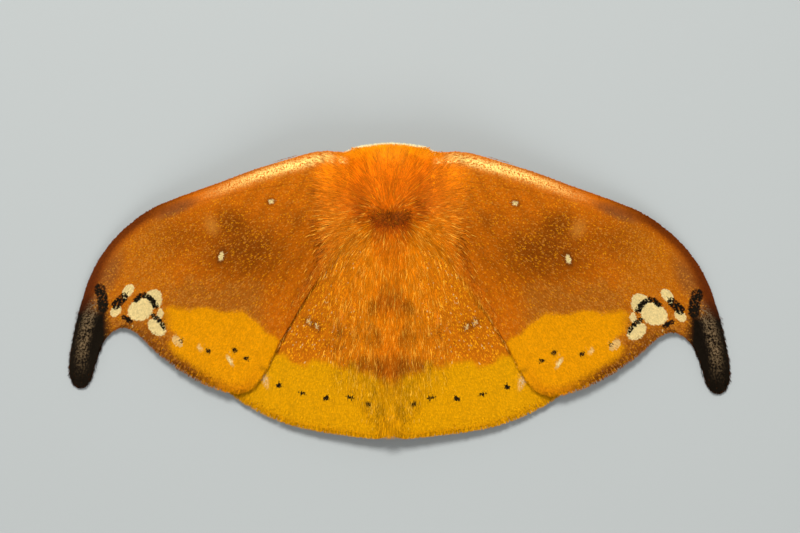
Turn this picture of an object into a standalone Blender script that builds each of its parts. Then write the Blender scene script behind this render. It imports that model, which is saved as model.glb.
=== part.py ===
"""A hook-tip moth of the genus Tridrepana, life size, settled on a flat surface with its wings spread.

The head points along +Y, the back is up and the moth's left side is at -X. The floor is at Z = 0.
Every length below is in millimetres, measured from the moth's midline, and MM turns it into metres.
A wing is drawn once, as the mean of the two sides, and each side then stretches and leans it a little.
"""

import math
import random

import bmesh
import bpy
from mathutils import Vector

for old in list(bpy.data.objects):
    bpy.data.objects.remove(old)

MM = 0.001
GAP = 0.3  # clear space between two pieces that touch on the real moth
MIDLINE_X = -0.53  # the right wing is held further out, so the midline is left of the middle

# Body
THORAX_AT = Vector((0.0, 5.7, 3.1))
THORAX_RADII = Vector((1.55, 2.2, 1.35))
HEAD_AT = Vector((0.0, 7.85, 2.05))
HEAD_RADII = Vector((0.95, 0.8, 0.85))
HEAD_SIDE = 0.5  # the head capsule's flat side, under the eye
EYE_AT = Vector((0.74, 7.9, 1.95))
EYE_RADIUS = 0.62
# Abdomen sections from the waist back: y, half width, half height, height of the centre
ABDOMEN = (
    (4.0, 1.1, 0.95, 2.3), (3.2, 1.2, 1.05, 2.28), (1.0, 1.2, 1.1, 2.28), (-1.5, 1.02, 1.0, 2.2),
    (-4.0, 0.76, 0.74, 2.15), (-6.2, 0.5, 0.46, 2.1), (-7.6, 0.3, 0.22, 2.05), (-8.5, 0.1, 0.08, 2.0),
)

COAT_CENTRE_Y = 7.1  # the thorax's hair fans out from here: forward ahead of it, back behind it
# Rows of locks on the thorax: degrees forward of its middle, locks in the row, length of each
THORAX_ROWS = ((62, 5, 0.95), (40, 8, 1.15), (16, 8, 1.35), (-8, 8, 1.45), (-32, 7, 1.35), (-54, 5, 1.2))
# Rows of locks on the abdomen: y of the roots, length at the top of the back, length at the flank
ABDOMEN_ROWS = (
    (2.6, 1.4, 1.7), (1.6, 1.4, 1.9), (0.55, 1.4, 1.8), (-0.5, 1.35, 1.6), (-1.7, 1.3, 1.5),
    (-2.9, 1.25, 1.4), (-4.1, 1.25, 1.4), (-5.2, 1.3, 1.5),
)

# Wings
WING_THICK = 0.52
HOOK_HEIGHT = 0.5  # upper face of the forewing where its hook rests on the floor
ROOT_RISE = 3.5  # how far the wing root stands above the hook
REACH = 20.0  # from the midline to the outermost point of a forewing
COSTA_ROLL = 0.3  # how far the front edge of the forewing rolls down
RIDGE = 0.12  # how far a main vein stands out of the membrane
HIND_DROP = WING_THICK + RIDGE + GAP  # the hindwing lies this far under the forewing
SHOULDER = 0.22  # from a vein's crest to the flat of the membrane beside it
STRETCH_FROM = 2.0  # from here outward a wing is stretched and leaned forward by its side's amounts
SIDES = {"left": (-1, 0.967, 0.01), "right": (1, 1.027, -0.01)}  # sign, stretch, forward lean per mm

# Forewing rim from the front edge round the hook, along the hind edge and up the inner margin
FORE_RIM = (
    (5.6, 8.02), (8.1, 7.32), (10.5, 6.46), (12.9, 5.62), (14.8, 4.85), (16.4, 3.75), (17.7, 2.4),
    (18.7, 0.7), (19.4, -1.4), (19.85, -3.5), (20.0, -4.9), (19.8, -5.7), (19.35, -6.0),
    (18.85, -5.65), (18.5, -4.6), (18.1, -3.4), (17.45, -2.6), (16.65, -2.27), (15.8, -2.6),
    (14.6, -3.65), (13.3, -4.6), (11.9, -5.42), (10.5, -5.95), (9.3, -6.1), (8.35, -5.65),
    (7.55, -4.4), (6.85, -3.0),
)
# Where the line from the root to a rim point bends: number of the rim point, then the bend
FORE_BENDS = (
    (0, (3.4, 8.95)), (2, (6.4, 7.5)), (4, (9.3, 6.6)), (6, (12.6, 5.9)), (8, (15.6, 5.0)),
    (10, (17.4, 3.8)), (12, (17.6, 2.8)), (14, (16.4, 2.4)), (16, (14.6, 2.4)), (18, (12.0, 2.5)),
    (20, (9.4, 1.6)), (22, (7.2, 0.9)), (24, (5.7, 0.7)), (26, (4.4, 1.6)),
)
# Rim points that a vein runs to, and how far out from the root it starts to stand up
FORE_VEINS = {
    1: 0.0, 3: 0.45, 5: 0.0, 8: 0.5, 11: 0.45, 15: 0.5, 17: 0.4, 19: 0.4, 20: 0.4, 21: 0.0, 23: 0.45,
    25: 0.0,
}
FORE_ROOT = (7.6, 5.2)  # front and back of the forewing's root on the thorax
FORE_RINGS = 9

HIND_RIM = (
    (5.6, 3.2), (7.6, 2.0), (9.3, 0.3), (10.5, -1.7), (11.0, -3.5), (10.8, -4.9), (10.2, -5.85),
    (9.55, -6.4), (8.6, -6.98), (7.4, -7.55), (6.1, -8.0), (4.7, -8.3), (3.3, -8.5), (1.9, -8.66),
    (0.9, -8.74), (0.25, -8.6),
)
HIND_BENDS = (
    (0, (3.6, 4.35)), (2, (5.6, 2.9)), (4, (6.9, 1.3)), (6, (6.3, 0.2)), (8, (5.2, -0.6)),
    (10, (3.9, -1.6)), (12, (2.9, -2.4)), (14, (2.2, -3.2)), (15, (1.9, -3.3)),
)
HIND_VEINS = {1: 0.0, 3: 0.0, 5: 0.4, 7: 0.4, 8: 0.4, 10: 0.0, 12: 0.0, 14: 0.0}
HIND_ROOT = (4.75, 3.6)
HIND_RINGS = 8

# Feelers, as points along the middle of the shaft
ANTENNA = (
    (0.6, 8.45, 2.93), (0.67, 8.52, 3.04), (1.28, 8.46, 2.85), (2.05, 8.3, 2.25), (3.1, 7.85, 1.9),
    (4.3, 7.25, 1.7), (5.6, 6.45, 1.45), (7.0, 5.55, 1.2),
)
ANTENNA_SHAFT = 0.25  # half the thickness of the shaft
ANTENNA_COMB = 0.44  # from the middle of the shaft to the tips of the comb's teeth
PALP = ((0.41, 8.5, 0.9), (0.41, 8.64, 0.98), (0.4, 8.82, 1.14))

# Legs: where the hip stands on the underside of the thorax, then the knee, ankle and foot
LEGS = {
    "fore": ((0.9, 6.5), ((2.1, 7.2, 1.5), (2.4, 7.6, 0.4), (2.65, 7.75, 0.22), (3.3, 8.0, 0.22))),
    "mid": ((1.0, 5.5), ((2.7, 5.5, 1.7), (3.3, 5.35, 0.45), (3.6, 5.25, 0.22), (4.6, 4.9, 0.22))),
    "hind": ((0.8, 4.75), ((2.4, 2.9, 1.15), (2.95, 1.9, 0.4), (3.1, 1.6, 0.22), (3.5, 0.3, 0.22))),
}
LEG_RADII = (0.25, 0.29, 0.3, 0.26, 0.25, 0.25)

# Colours of the plain solids
ORANGE = (0.78, 0.28, 0.02)
DEEP_ORANGE = (0.62, 0.19, 0.015)
YELLOW = (0.80, 0.45, 0.02)
DARK_EYE = (0.03, 0.015, 0.01)
CREAM = (0.80, 0.66, 0.40)
TAWNY = (0.55, 0.28, 0.08)


def finish_colour(name, colour, roughness):
    material = bpy.data.materials.new(name)
    material.use_nodes = True
    shader = material.node_tree.nodes["Principled BSDF"]
    shader.inputs["Base Color"].default_value = (*colour, 1.0)
    shader.inputs["Roughness"].default_value = roughness
    shader.inputs["Metallic"].default_value = 0.0
    return material


def mesh_object(name, bm, colour=ORANGE, roughness=0.7):
    """The mesh as an object, brought from millimetres to metres and onto the midline."""
    bmesh.ops.translate(bm, verts=bm.verts, vec=(MIDLINE_X, 0.0, 0.0))
    bmesh.ops.scale(bm, verts=bm.verts, vec=(MM, MM, MM))
    bmesh.ops.recalc_face_normals(bm, faces=bm.faces)
    mesh = bpy.data.meshes.new(name)
    bm.to_mesh(mesh)
    bm.free()
    mesh.materials.append(finish_colour(name, colour, roughness))
    obj = bpy.data.objects.new(name, mesh)
    bpy.context.scene.collection.objects.link(obj)
    return obj


def apply_modifiers(obj):
    graph = bpy.context.evaluated_depsgraph_get()
    mesh = bpy.data.meshes.new_from_object(obj.evaluated_get(graph))
    obj.modifiers.clear()
    obj.data = mesh


def keep_largest(obj):
    """Leaves only the closed surface with the most area."""
    bm = bmesh.new()
    bm.from_mesh(obj.data)
    unseen = set(bm.faces)
    islands = []
    while unseen:
        island = [unseen.pop()]
        for face in island:
            for edge in face.edges:
                for other in edge.link_faces:
                    if other in unseen:
                        unseen.remove(other)
                        island.append(other)
        islands.append(island)
    islands.sort(key=lambda faces: sum(face.calc_area() for face in faces))
    stray = [face for island in islands[:-1] for face in island]
    bmesh.ops.delete(bm, geom=stray, context="FACES")
    bm.to_mesh(obj.data)
    bm.free()


def join_pieces(core, pieces, solver="EXACT"):
    """Fuses the pieces into the core by one union, then removes them."""
    group = bpy.data.collections.new(core.name + "_pieces")
    bpy.context.scene.collection.children.link(group)
    for piece in pieces:
        bpy.context.scene.collection.objects.unlink(piece)
        group.objects.link(piece)
    union = core.modifiers.new("union", "BOOLEAN")
    union.operation = "UNION"
    union.operand_type = "COLLECTION"
    union.collection = group
    union.solver = solver
    apply_modifiers(core)
    for piece in pieces:
        bpy.data.objects.remove(piece)
    bpy.data.collections.remove(group)
    keep_largest(core)


def cut_away(obj, cutters, solver="EXACT"):
    """Cuts each cutter's space out of the object."""
    for cutter in cutters:
        cut = obj.modifiers.new("cut", "BOOLEAN")
        cut.operation = "DIFFERENCE"
        cut.object = cutter
        cut.solver = solver
    apply_modifiers(obj)
    keep_largest(obj)


def through(points, steps):
    """A smooth curve through the points, with the given number of steps from each to the next."""
    points = [Vector(p) for p in points]
    ends = [2 * points[0] - points[1], *points, 2 * points[-1] - points[-2]]
    line = []
    for before, start, end, after in zip(ends, ends[1:], ends[2:], ends[3:]):
        for step in range(steps):
            t = step / steps
            line.append(
                0.5 * (2 * start + (end - before) * t
                       + (2 * before - 5 * start + 4 * end - after) * t ** 2
                       + (3 * start - before - 3 * end + after) * t ** 3)
            )
    return [*line, points[-1]]


def ellipsoid(name, at, radii, grow=0.0, segments=24, rings=14, colour=ORANGE):
    bm = bmesh.new()
    bmesh.ops.create_uvsphere(bm, u_segments=segments, v_segments=rings, radius=1.0)
    bmesh.ops.scale(bm, verts=bm.verts, vec=radii + Vector((grow, grow, grow)))
    bmesh.ops.translate(bm, verts=bm.verts, vec=at)
    return mesh_object(name, bm, colour)


def block(name, left, right):
    """A box round the head that reaches from left to right, to cut pieces off along a flat."""
    bm = bmesh.new()
    bmesh.ops.create_cube(bm, size=1.0)
    bmesh.ops.scale(bm, verts=bm.verts, vec=(right - left, 6.0, 6.0))
    bmesh.ops.translate(bm, verts=bm.verts, vec=((left + right) / 2, HEAD_AT.y, HEAD_AT.z))
    return mesh_object(name, bm)


def tube(name, centres, halves, sides=8, colour=ORANGE):
    """A closed limb through the centres. Each half is half its width, or half width and half height.
    Where it would reach below the floor it is flattened into a sole."""
    bm = bmesh.new()
    centres = [Vector(c) for c in centres]
    loops = []
    for i, centre in enumerate(centres):
        along = (centres[min(i + 1, len(centres) - 1)] - centres[max(i - 1, 0)]).normalized()
        across = along.cross(Vector((0, 0, 1))).normalized()
        up = across.cross(along)
        width, height = halves[i] if isinstance(halves[i], tuple) else (halves[i], halves[i])
        ring = []
        for k in range(sides):
            angle = math.tau * (k + 0.5) / sides
            spot = centre + across * width * math.cos(angle) + up * height * math.sin(angle)
            spot.z = max(spot.z, 0.0)
            ring.append(bm.verts.new(spot))
        loops.append(ring)
    for low, high in zip(loops, loops[1:]):
        for k in range(sides):
            bm.faces.new((low[k], low[(k + 1) % sides], high[(k + 1) % sides], high[k]))
    bm.faces.new(reversed(loops[0]))
    bm.faces.new(loops[-1])
    return mesh_object(name, bm, colour)


# Wings

def clear_of_thorax(y, z):
    """How far out from the midline a wing root starts, y along the body and z above the floor."""
    along = (y - THORAX_AT.y) / (THORAX_RADII.y + GAP)
    up = (z - THORAX_AT.z) / (THORAX_RADII.z + GAP)
    return (THORAX_RADII.x + GAP) * math.sqrt(max(1 - along ** 2 - up ** 2, 0.0)) + 0.02


def abdomen_half_width(y):
    y = min(y, ABDOMEN[0][0])
    for front, back in zip(ABDOMEN, ABDOMEN[1:]):
        if front[0] >= y > back[0]:
            share = (front[0] - y) / (front[0] - back[0])
            return front[1] + (back[1] - front[1]) * share
    return 0.0


def sail_height(x, y):
    """Upper face of a forewing: high at the shoulder, down on the floor at the hook."""
    outward = max(0.0, 1 - x / REACH) ** 1.05
    backward = 1 - 0.4 * max(0.0, (7 - y) / 13) ** 1.2
    return HOOK_HEIGHT + ROOT_RISE * outward * backward


def wing_lines(rim, bends, veins, root_y, drop):
    """The lines that fan out from the wing's root to its rim. Each is its root, its bend, its end,
    its place along the rim from 0 to 1 and where a vein starts along it, or None for membrane."""
    steps = 8
    edge = through(rim, steps)
    last = len(rim) - 1
    places = []
    for i in range(last + 1):
        if i in veins:
            before = (Vector(rim[i]) - Vector(rim[i - 1])).length
            after = (Vector(rim[i + 1]) - Vector(rim[i])).length
            places += [(i - SHOULDER / before, None), (i, veins[i]), (i + SHOULDER / after, None)]
        else:
            places.append((i, None))
    lines = []
    for place, vein_from in places:
        low = min(int(place * steps), len(edge) - 2)
        end = edge[low].lerp(edge[low + 1], place * steps - low)
        y = root_y[0] + (root_y[1] - root_y[0]) * place / last
        top = sail_height(2, y) - drop
        z = min(max(THORAX_AT.z, top - WING_THICK), top)
        root = Vector((clear_of_thorax(y, z), y))
        for (first, start), (second, finish) in zip(bends, bends[1:]):
            if place <= second:
                bend = Vector(start).lerp(Vector(finish), (place - first) / (second - first))
                break
        lines.append((root, bend, end, place / last, vein_from))
    return lines


def wing(name, lines, rings, drop, side, colour, grow=0.0):
    """One wing as a closed sheet: a grid of lines by rings with the veins raised in its upper face.
    With grow it is a plainer sheet that is larger all round, to cut its neighbours clear of it."""
    sign, stretch, lean = SIDES[side]
    bm = bmesh.new()
    bmesh.ops.create_grid(bm, x_segments=len(lines) - 1, y_segments=rings, size=0.5)
    ridge = bm.verts.layers.float.new("ridge")
    roll = bm.verts.layers.float.new("roll")
    for vert in bm.verts:
        root, bend, end, place, vein_from = lines[round((vert.co.x + 0.5) * (len(lines) - 1))]
        r = vert.co.y + 0.5
        flat = root * (1 - r) ** 2 + bend * 2 * r * (1 - r) + end * r ** 2
        if drop:
            flat.x = max(flat.x, abdomen_half_width(flat.y) + GAP)
        if vein_from is not None:
            rise = min(max((r - vein_from) / 0.15, 0.0), 1.0)
            vert[ridge] = RIDGE * rise * (1.15 - 0.75 * r)
        if not drop:
            front = max(r, 1 - 20 * place) ** 4
            vert[roll] = COSTA_ROLL * front * min(max((0.27 - place) / 0.12, 0.0), 1.0)
        inward = place * r + (1 - r) * (1 + (1 - place) ** 2)
        flat += grow * Vector((-inward, 1 - 1.4 * place))
        vert.co = (flat.x, flat.y, 0.0)
    bmesh.ops.triangulate(bm, faces=bm.faces)
    lower = bmesh.ops.extrude_face_region(bm, geom=bm.faces[:], use_keep_orig=True)["geom"]
    lower = {item for item in lower if isinstance(item, bmesh.types.BMVert)}
    for vert in bm.verts:
        x, y, _ = vert.co
        z = sail_height(x, y) - drop - vert[roll]
        if vert in lower:
            z -= WING_THICK
            z = (0.0 if z < 0.08 else z) - grow
        elif grow:
            z += vert[roll] + RIDGE + grow
        else:
            z += vert[ridge]
        out = max(x - STRETCH_FROM, 0.0)
        vert.co = (sign * (x + out * (stretch - 1)), y + out * lean, z)
    return mesh_object(name, bm, colour)


def lock(spot, normal, lie, length, width, lift=0.28, droop=0.0, thick=0.24):
    """A flat lock of hair: its root sunk under the spot, its point a length away along the lie."""
    normal = normal.normalized()
    lie = (lie - normal * lie.dot(normal)).normalized()
    across = normal.cross(lie)
    bm = bmesh.new()
    loops = []
    for t, breadth in ((0.0, 0.7), (0.32, 1.0), (0.68, 0.72)):
        height = -0.3 * (1 - t) ** 2 + lift * min(1.0, 2 * t) - droop * t ** 2
        centre = spot + lie * length * t + normal * height
        side = across * width / 2 * breadth
        rise = normal * thick / 2 * (1.2 - 0.6 * t)
        loops.append([bm.verts.new(centre + step) for step in (side, rise, -side, -rise)])
    tip = bm.verts.new(spot + lie * length + normal * (lift - droop))
    for low, high in zip(loops, loops[1:]):
        for k in range(4):
            bm.faces.new((low[k], low[(k + 1) % 4], high[(k + 1) % 4], high[k]))
    for k in range(4):
        bm.faces.new((loops[-1][k], loops[-1][(k + 1) % 4], tip))
    bm.faces.new(reversed(loops[0]))
    return mesh_object("lock", bm)


def on_ellipsoid(at, radii, forward, roll):
    """A point and its normal, a number of degrees forward of the middle and rolled from the top."""
    forward, roll = math.radians(forward), math.radians(roll)
    unit = Vector(
        (math.sin(roll) * math.cos(forward), math.sin(forward), math.cos(roll) * math.cos(forward))
    )
    spot = at + Vector(unit[i] * radii[i] for i in range(3))
    return spot, Vector(unit[i] / radii[i] for i in range(3))


def few(lines):
    return [*lines[:-1:3], lines[-1]]


fore_lines = wing_lines(FORE_RIM, FORE_BENDS, FORE_VEINS, FORE_ROOT, 0.0)
hind_lines = wing_lines(HIND_RIM, HIND_BENDS, HIND_VEINS, HIND_ROOT, HIND_DROP)
wing_clearance = []
for side in SIDES:
    wing("forewing_" + side, fore_lines, FORE_RINGS, 0.0, side, ORANGE)
    wing("hindwing_" + side, hind_lines, HIND_RINGS, HIND_DROP, side, YELLOW)
    wing_clearance.append(wing("clear_fore", few(fore_lines), FORE_RINGS, 0.0, side, ORANGE, GAP))
    wing_clearance.append(wing("clear_hind", few(hind_lines), HIND_RINGS, HIND_DROP, side, YELLOW, GAP))

def hip_points(x, y):
    """The first two points of a leg: just clear of the thorax's underside, then straight out of it."""
    out, back = x / THORAX_RADII.x, (y - THORAX_AT.y) / THORAX_RADII.y
    down = math.sqrt(1 - out ** 2 - back ** 2)
    spot = Vector((x, y, THORAX_AT.z - down * THORAX_RADII.z))
    normal = Vector((out / THORAX_RADII.x, back / THORAX_RADII.y, -down / THORAX_RADII.z)).normalized()
    return spot + normal * GAP * 1.1, spot + normal * 0.75


# Thorax and abdomen
hair = random.Random(5)
thorax = ellipsoid("thorax", THORAX_AT, THORAX_RADII, segments=28, rings=16, colour=DEEP_ORANGE)
locks = []
for row, (forward, count, length) in enumerate(THORAX_ROWS):
    spread = 66 if abs(forward) < 50 else 56
    for i in range(count):
        roll = spread * (2 * i / (count - 1) - 1) + hair.uniform(-3, 3)
        spot, normal = on_ellipsoid(THORAX_AT, THORAX_RADII, forward, roll)
        normal = normal.normalized().lerp(Vector((0, 0, 1)), min(1.0, abs(forward) / 70))
        lie = Vector((spot.x * 1.1, spot.y - COAT_CENTRE_Y, 0.0))
        reach = length * hair.uniform(0.92, 1.08) * (1 + 0.25 * abs(roll) / spread)
        locks.append(lock(spot, normal, lie, reach, hair.uniform(0.5, 0.62), droop=0.08))
for y in (7.0, 6.3, 5.6, 4.9):
    for sign in (-1, 1):
        spot, normal = on_ellipsoid(THORAX_AT, THORAX_RADII, (y - THORAX_AT.y) * 26, sign * 38)
        lie = Vector((sign, 0.25 - 0.5 * (7.2 - y), 0.0))
        locks.append(lock(spot, Vector((sign * 0.1, 0, 1)), lie, 2.1, 0.8, lift=0.34, droop=0.25))
for forward in (34, 8):
    spot, normal = on_ellipsoid(THORAX_AT, THORAX_RADII, forward, 180)
    locks.append(lock(spot, normal, Vector((0, -1, 0)), 0.95, 0.6, lift=0.12))
thorax_clearance = ellipsoid("clear_thorax", THORAX_AT, THORAX_RADII, GAP * 1.1, segments=28, rings=16)
sections = through([Vector((y, width, height, z)) for y, width, height, z in ABDOMEN], 3)
abdomen = tube(
    "abdomen",
    [(0.0, s[0], s[3]) for s in sections],
    [(s[1], s[2]) for s in sections],
    sides=20,
    colour=DEEP_ORANGE,
)
join_pieces(thorax, locks, "MANIFOLD")
cut_away(thorax, wing_clearance, "MANIFOLD")
locks = []
for y, back_length, flank_length in ABDOMEN_ROWS:
    _, half_width, half_height, middle = min(sections, key=lambda section: abs(section[0] - y))
    for roll in (-68, -44, -18, 18, 44, 68, 180):
        angle = math.radians(roll + hair.uniform(-3, 3))
        spot = Vector((half_width * math.sin(angle), y, middle + half_height * math.cos(angle)))
        normal = Vector((math.sin(angle) / half_width, 0.0, math.cos(angle) / half_height))
        flank = abs(math.sin(angle))
        lie = Vector((0.55 * math.sin(angle), -1.0, 0.0))
        length = (back_length + (flank_length - back_length) * flank) * hair.uniform(0.92, 1.08)
        lift = 0.12 if roll == 180 else 0.26
        locks.append(lock(spot, normal, lie, length, hair.uniform(0.48, 0.6) * half_width ** 0.4, lift))
for across in (-2, -1, 0, 1, 2):
    spot = Vector((0.14 * across, -6.4, 2.25))
    lie = Vector((0.17 * across, -1.0, -0.08))
    locks.append(lock(spot, Vector((0, 0, 1)), lie, 2.15 - 0.12 * abs(across), 0.42, lift=0.1))
join_pieces(abdomen, locks, "MANIFOLD")
cut_away(abdomen, [thorax_clearance, *wing_clearance], "MANIFOLD")

# Head with its eyes, palps and feelers, and the legs
head = ellipsoid("head", HEAD_AT, HEAD_RADII, segments=24, rings=14, colour=DEEP_ORANGE)
beside = [block("beside", -3.0, -HEAD_SIDE), block("beside", HEAD_SIDE, 3.0)]
locks = []
for z in (2.4, 2.0):
    for x in (-0.22, 0.0, 0.22):
        depth = math.sqrt(1 - (x / HEAD_RADII.x) ** 2 - ((z - HEAD_AT.z) / HEAD_RADII.z) ** 2)
        spot = Vector((x, HEAD_AT.y + depth * HEAD_RADII.y, z))
        locks.append(lock(spot, Vector((x, 1, z - HEAD_AT.z)), Vector((x, 0, -1)), 0.45, 0.32, 0.08, 0.0, 0.2))
join_pieces(head, locks, "MANIFOLD")
cut_away(head, [thorax_clearance, *beside], "MANIFOLD")
for side, (sign, _, _) in SIDES.items():
    mirror = Vector((sign, 1, 1))
    eye = ellipsoid("eye_" + side, EYE_AT * mirror, Vector((EYE_RADIUS,) * 3), 0, 20, 12, DARK_EYE)
    inner = sign * (HEAD_SIDE + GAP)
    inside = block("inside", min(inner, -sign * 3.0), max(inner, -sign * 3.0))
    cut_away(eye, [inside, thorax_clearance])
    bpy.data.objects.remove(inside)
    shaft = [point * mirror for point in through(ANTENNA, 4)]
    comb = []
    for i in range(len(shaft)):
        tooth = ANTENNA_COMB * (1 - 0.4 * i / len(shaft)) if i % 2 and i > 4 else ANTENNA_SHAFT
        comb.append((tooth, ANTENNA_SHAFT))
    tube("antenna_" + side, shaft, comb, 6, CREAM)
    tube("palp_" + side, [Vector(point) * mirror for point in PALP], (0.25, 0.26, 0.14), 8, TAWNY)
    for pair, (hip, points) in LEGS.items():
        points = [*hip_points(*hip), *(Vector(point) for point in points)]
        tube("leg_" + pair + "_" + side, [point * mirror for point in points], LEG_RADII, 8, TAWNY)

for helper in [thorax_clearance, *wing_clearance, *beside]:
    bpy.data.objects.remove(helper)
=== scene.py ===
import math

import bmesh
import bpy
import numpy as np
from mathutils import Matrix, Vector


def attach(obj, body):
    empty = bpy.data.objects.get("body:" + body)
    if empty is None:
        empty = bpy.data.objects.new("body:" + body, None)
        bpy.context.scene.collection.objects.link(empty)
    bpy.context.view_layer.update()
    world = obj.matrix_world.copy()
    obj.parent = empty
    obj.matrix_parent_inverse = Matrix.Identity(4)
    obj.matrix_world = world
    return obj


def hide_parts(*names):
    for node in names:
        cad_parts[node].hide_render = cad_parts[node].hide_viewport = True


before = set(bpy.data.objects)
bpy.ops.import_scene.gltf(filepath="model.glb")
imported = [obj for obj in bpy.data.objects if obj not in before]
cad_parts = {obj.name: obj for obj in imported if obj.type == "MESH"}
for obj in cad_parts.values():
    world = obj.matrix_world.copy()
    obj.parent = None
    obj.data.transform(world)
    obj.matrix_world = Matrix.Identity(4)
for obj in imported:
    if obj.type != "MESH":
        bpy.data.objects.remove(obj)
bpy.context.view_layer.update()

# The floor, the studio light and the camera, which are no part of the moth.
# The camera looks straight down through a long lens, as the photograph seems to. The light stands beyond
# the head, so the shadow falls behind the hindwings.
MM = 0.001
IMAGE_SPAN = 48.0  # what the photograph's 800 pixels span at the moth's back, in mm
LOOKS_AT = (0.04, 1.53, 2.0)
LENS = 150.0
SENSOR = 36.0
view_distance = IMAGE_SPAN * LENS / SENSOR


def place_in_scene(name, data):
    """Makes an object of a mesh, a lamp or a camera."""
    made = bpy.data.objects.new(name, data)
    bpy.context.scene.collection.objects.link(made)
    return made


camera_data = bpy.data.cameras.new("camera")
camera_data.lens = LENS
camera_data.sensor_width = SENSOR
camera_data.clip_start = 0.01
camera = place_in_scene("camera", camera_data)
camera.location = Vector((LOOKS_AT[0], LOOKS_AT[1], LOOKS_AT[2] + view_distance)) * MM
bpy.context.scene.camera = camera

FLOOR_GREY = (0.37, 0.40, 0.41)
FLOOR_SIZE = 1.2


def new_finish(name):
    """A finish and its shader."""
    finish = bpy.data.materials.new(name)
    finish.use_nodes = True
    return finish, finish.node_tree.nodes["Principled BSDF"]


floor_shape = bmesh.new()
bmesh.ops.create_grid(floor_shape, x_segments=1, y_segments=1, size=FLOOR_SIZE / 2)
floor_finish, floor_shader = new_finish("floor")
floor_shader.inputs["Base Color"].default_value = (*FLOOR_GREY, 1.0)
floor_shader.inputs["Roughness"].default_value = 0.9


def smooth_object(name, shape, finish):
    """Turns a shape into a smooth object of one finish, and frees the shape."""
    mesh = bpy.data.meshes.new(name)
    shape.to_mesh(mesh)
    shape.free()
    mesh.shade_smooth()
    mesh.materials.append(finish)
    return place_in_scene(name, mesh)


floor = smooth_object("floor", floor_shape, floor_finish)


def soft_light(name, place, size, power, colour):
    """A square lamp that faces the moth, with its place and size in mm."""
    lamp = bpy.data.lights.new(name, "AREA")
    lamp.size = size * MM
    lamp.energy = power
    lamp.color = colour
    holder = place_in_scene(name, lamp)
    holder.location = Vector(place) * MM
    holder.rotation_mode = "QUATERNION"
    holder.rotation_quaternion = Vector(place).to_track_quat("Z", "Y")


soft_light("key", (-25, 110, 200), 60, 0.56, (1.0, 0.97, 0.92))
soft_light("fill", (60, -150, 170), 160, 0.17, (1.0, 0.98, 0.95))
studio = bpy.data.worlds.new("studio")
studio.use_nodes = True
backdrop = studio.node_tree.nodes["Background"]
backdrop.inputs["Color"].default_value = (1.0, 0.99, 0.97, 1.0)
backdrop.inputs["Strength"].default_value = 0.38
bpy.context.scene.world = studio
bpy.context.scene.view_settings.view_transform = "Standard"

# The forewings' membranes. Each is one thin dry sheet from the shoulder out to a hooked tip, stiffened
# by hollow veins that stand up as ridges. It is high at the body and its hook lies on the floor.
# Lengths are in mm from the midline; a wing is drawn once, then each side is stretched and leaned.
MIDLINE_X = -0.53
# Each side's sign, and how the mean wing is stretched and leaned forward there, beyond STRETCH_FROM
SIDES = {"left": (-1, 0.967, 0.01), "right": (1, 1.027, -0.01)}
STRETCH_FROM = 2.0
HOOK_HEIGHT = 0.5
ROOT_RISE = 3.5
REACH = 20.0
COSTA_ROLL = 0.3
VEIN_RISE = 0.03
VEIN_HALF_WIDTH = 0.16
MEMBRANE_THICK = 0.12
MEMBRANE_SINK = 0.05  # the membrane's upper face under the solid's, which leaves room for the scales
MEMBRANE_REACH = 0.975  # the membrane's share of each line from root to rim; the rest is the fringe's
MEMBRANE_LINES = 161
MOTTLING_SCALE = 5200.0
WARM_GLOSS = (1.0, 0.8, 0.5, 1.0)
RIM_STEPS = 16
FLOOR_GAP = 0.02  # no scale or hair is nearer to the floor
FORE_RIM = (
    (5.6, 8.02), (8.1, 7.32), (10.5, 6.46), (12.9, 5.62), (14.8, 4.85), (16.4, 3.75), (17.7, 2.4),
    (18.7, 0.7), (19.4, -1.4), (19.85, -3.5), (20.0, -4.9), (19.8, -5.7), (19.35, -6.0),
    (18.85, -5.65), (18.5, -4.6), (18.1, -3.4), (17.45, -2.6), (16.65, -2.27), (15.8, -2.6),
    (14.6, -3.65), (13.3, -4.6), (11.9, -5.42), (10.5, -5.95), (9.3, -6.1), (8.35, -5.65),
    (7.55, -4.4), (6.85, -3.0),
)
# Where the line from the root to a rim point bends: number of the rim point, then the bend
FORE_BENDS = (
    (0, (3.4, 8.95)), (2, (6.4, 7.5)), (4, (9.3, 6.6)), (6, (12.6, 5.9)), (8, (15.6, 5.0)),
    (10, (17.4, 3.8)), (12, (18.3, 2.8)), (13, (18.3, 2.5)), (14, (17.4, 2.4)), (15, (16.0, 2.4)),
    (16, (14.6, 2.4)), (18, (12.0, 2.5)), (20, (9.4, 1.6)), (22, (7.2, 0.9)), (24, (5.7, 0.7)),
    (26, (4.4, 1.6)),
)
# Rim points that a vein runs to, and how far out from the root it starts to stand up
FORE_VEINS = {
    1: 0.0, 3: 0.45, 5: 0.0, 8: 0.5, 11: 0.45, 17: 0.4, 19: 0.4, 20: 0.4, 21: 0.0, 23: 0.45,
    25: 0.0,
}
FORE_ROOT = ((0.7, 7.5), (0.9, 5.0))  # front and back of the forewing's root, under the shoulder's hair
ROOT_DIP = 0.9  # how far the root plunges under the shoulder's hair


def smooth_line(points, steps):
    """A smooth curve through the points, with the given number of steps from each to the next."""
    line = np.array(points, float)
    ends = np.concatenate([2 * line[:1] - line[1:2], line, 2 * line[-1:] - line[-2:-1]])
    t = (np.arange(steps) / steps)[:, None]
    parts = []
    for before, start, end, after in zip(ends, ends[1:], ends[2:], ends[3:]):
        parts.append(
            0.5 * (2 * start + (end - before) * t + (2 * before - 5 * start + 4 * end - after) * t ** 2
                   + (3 * start - before - 3 * end + after) * t ** 3)
        )
    return np.concatenate([*parts, line[-1:]])


def ease(low, high, value):
    """0 at low, 1 at high and a soft rise between them."""
    t = np.clip((value - low) / (high - low), 0, 1)
    return t * t * (3 - 2 * t)


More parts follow.
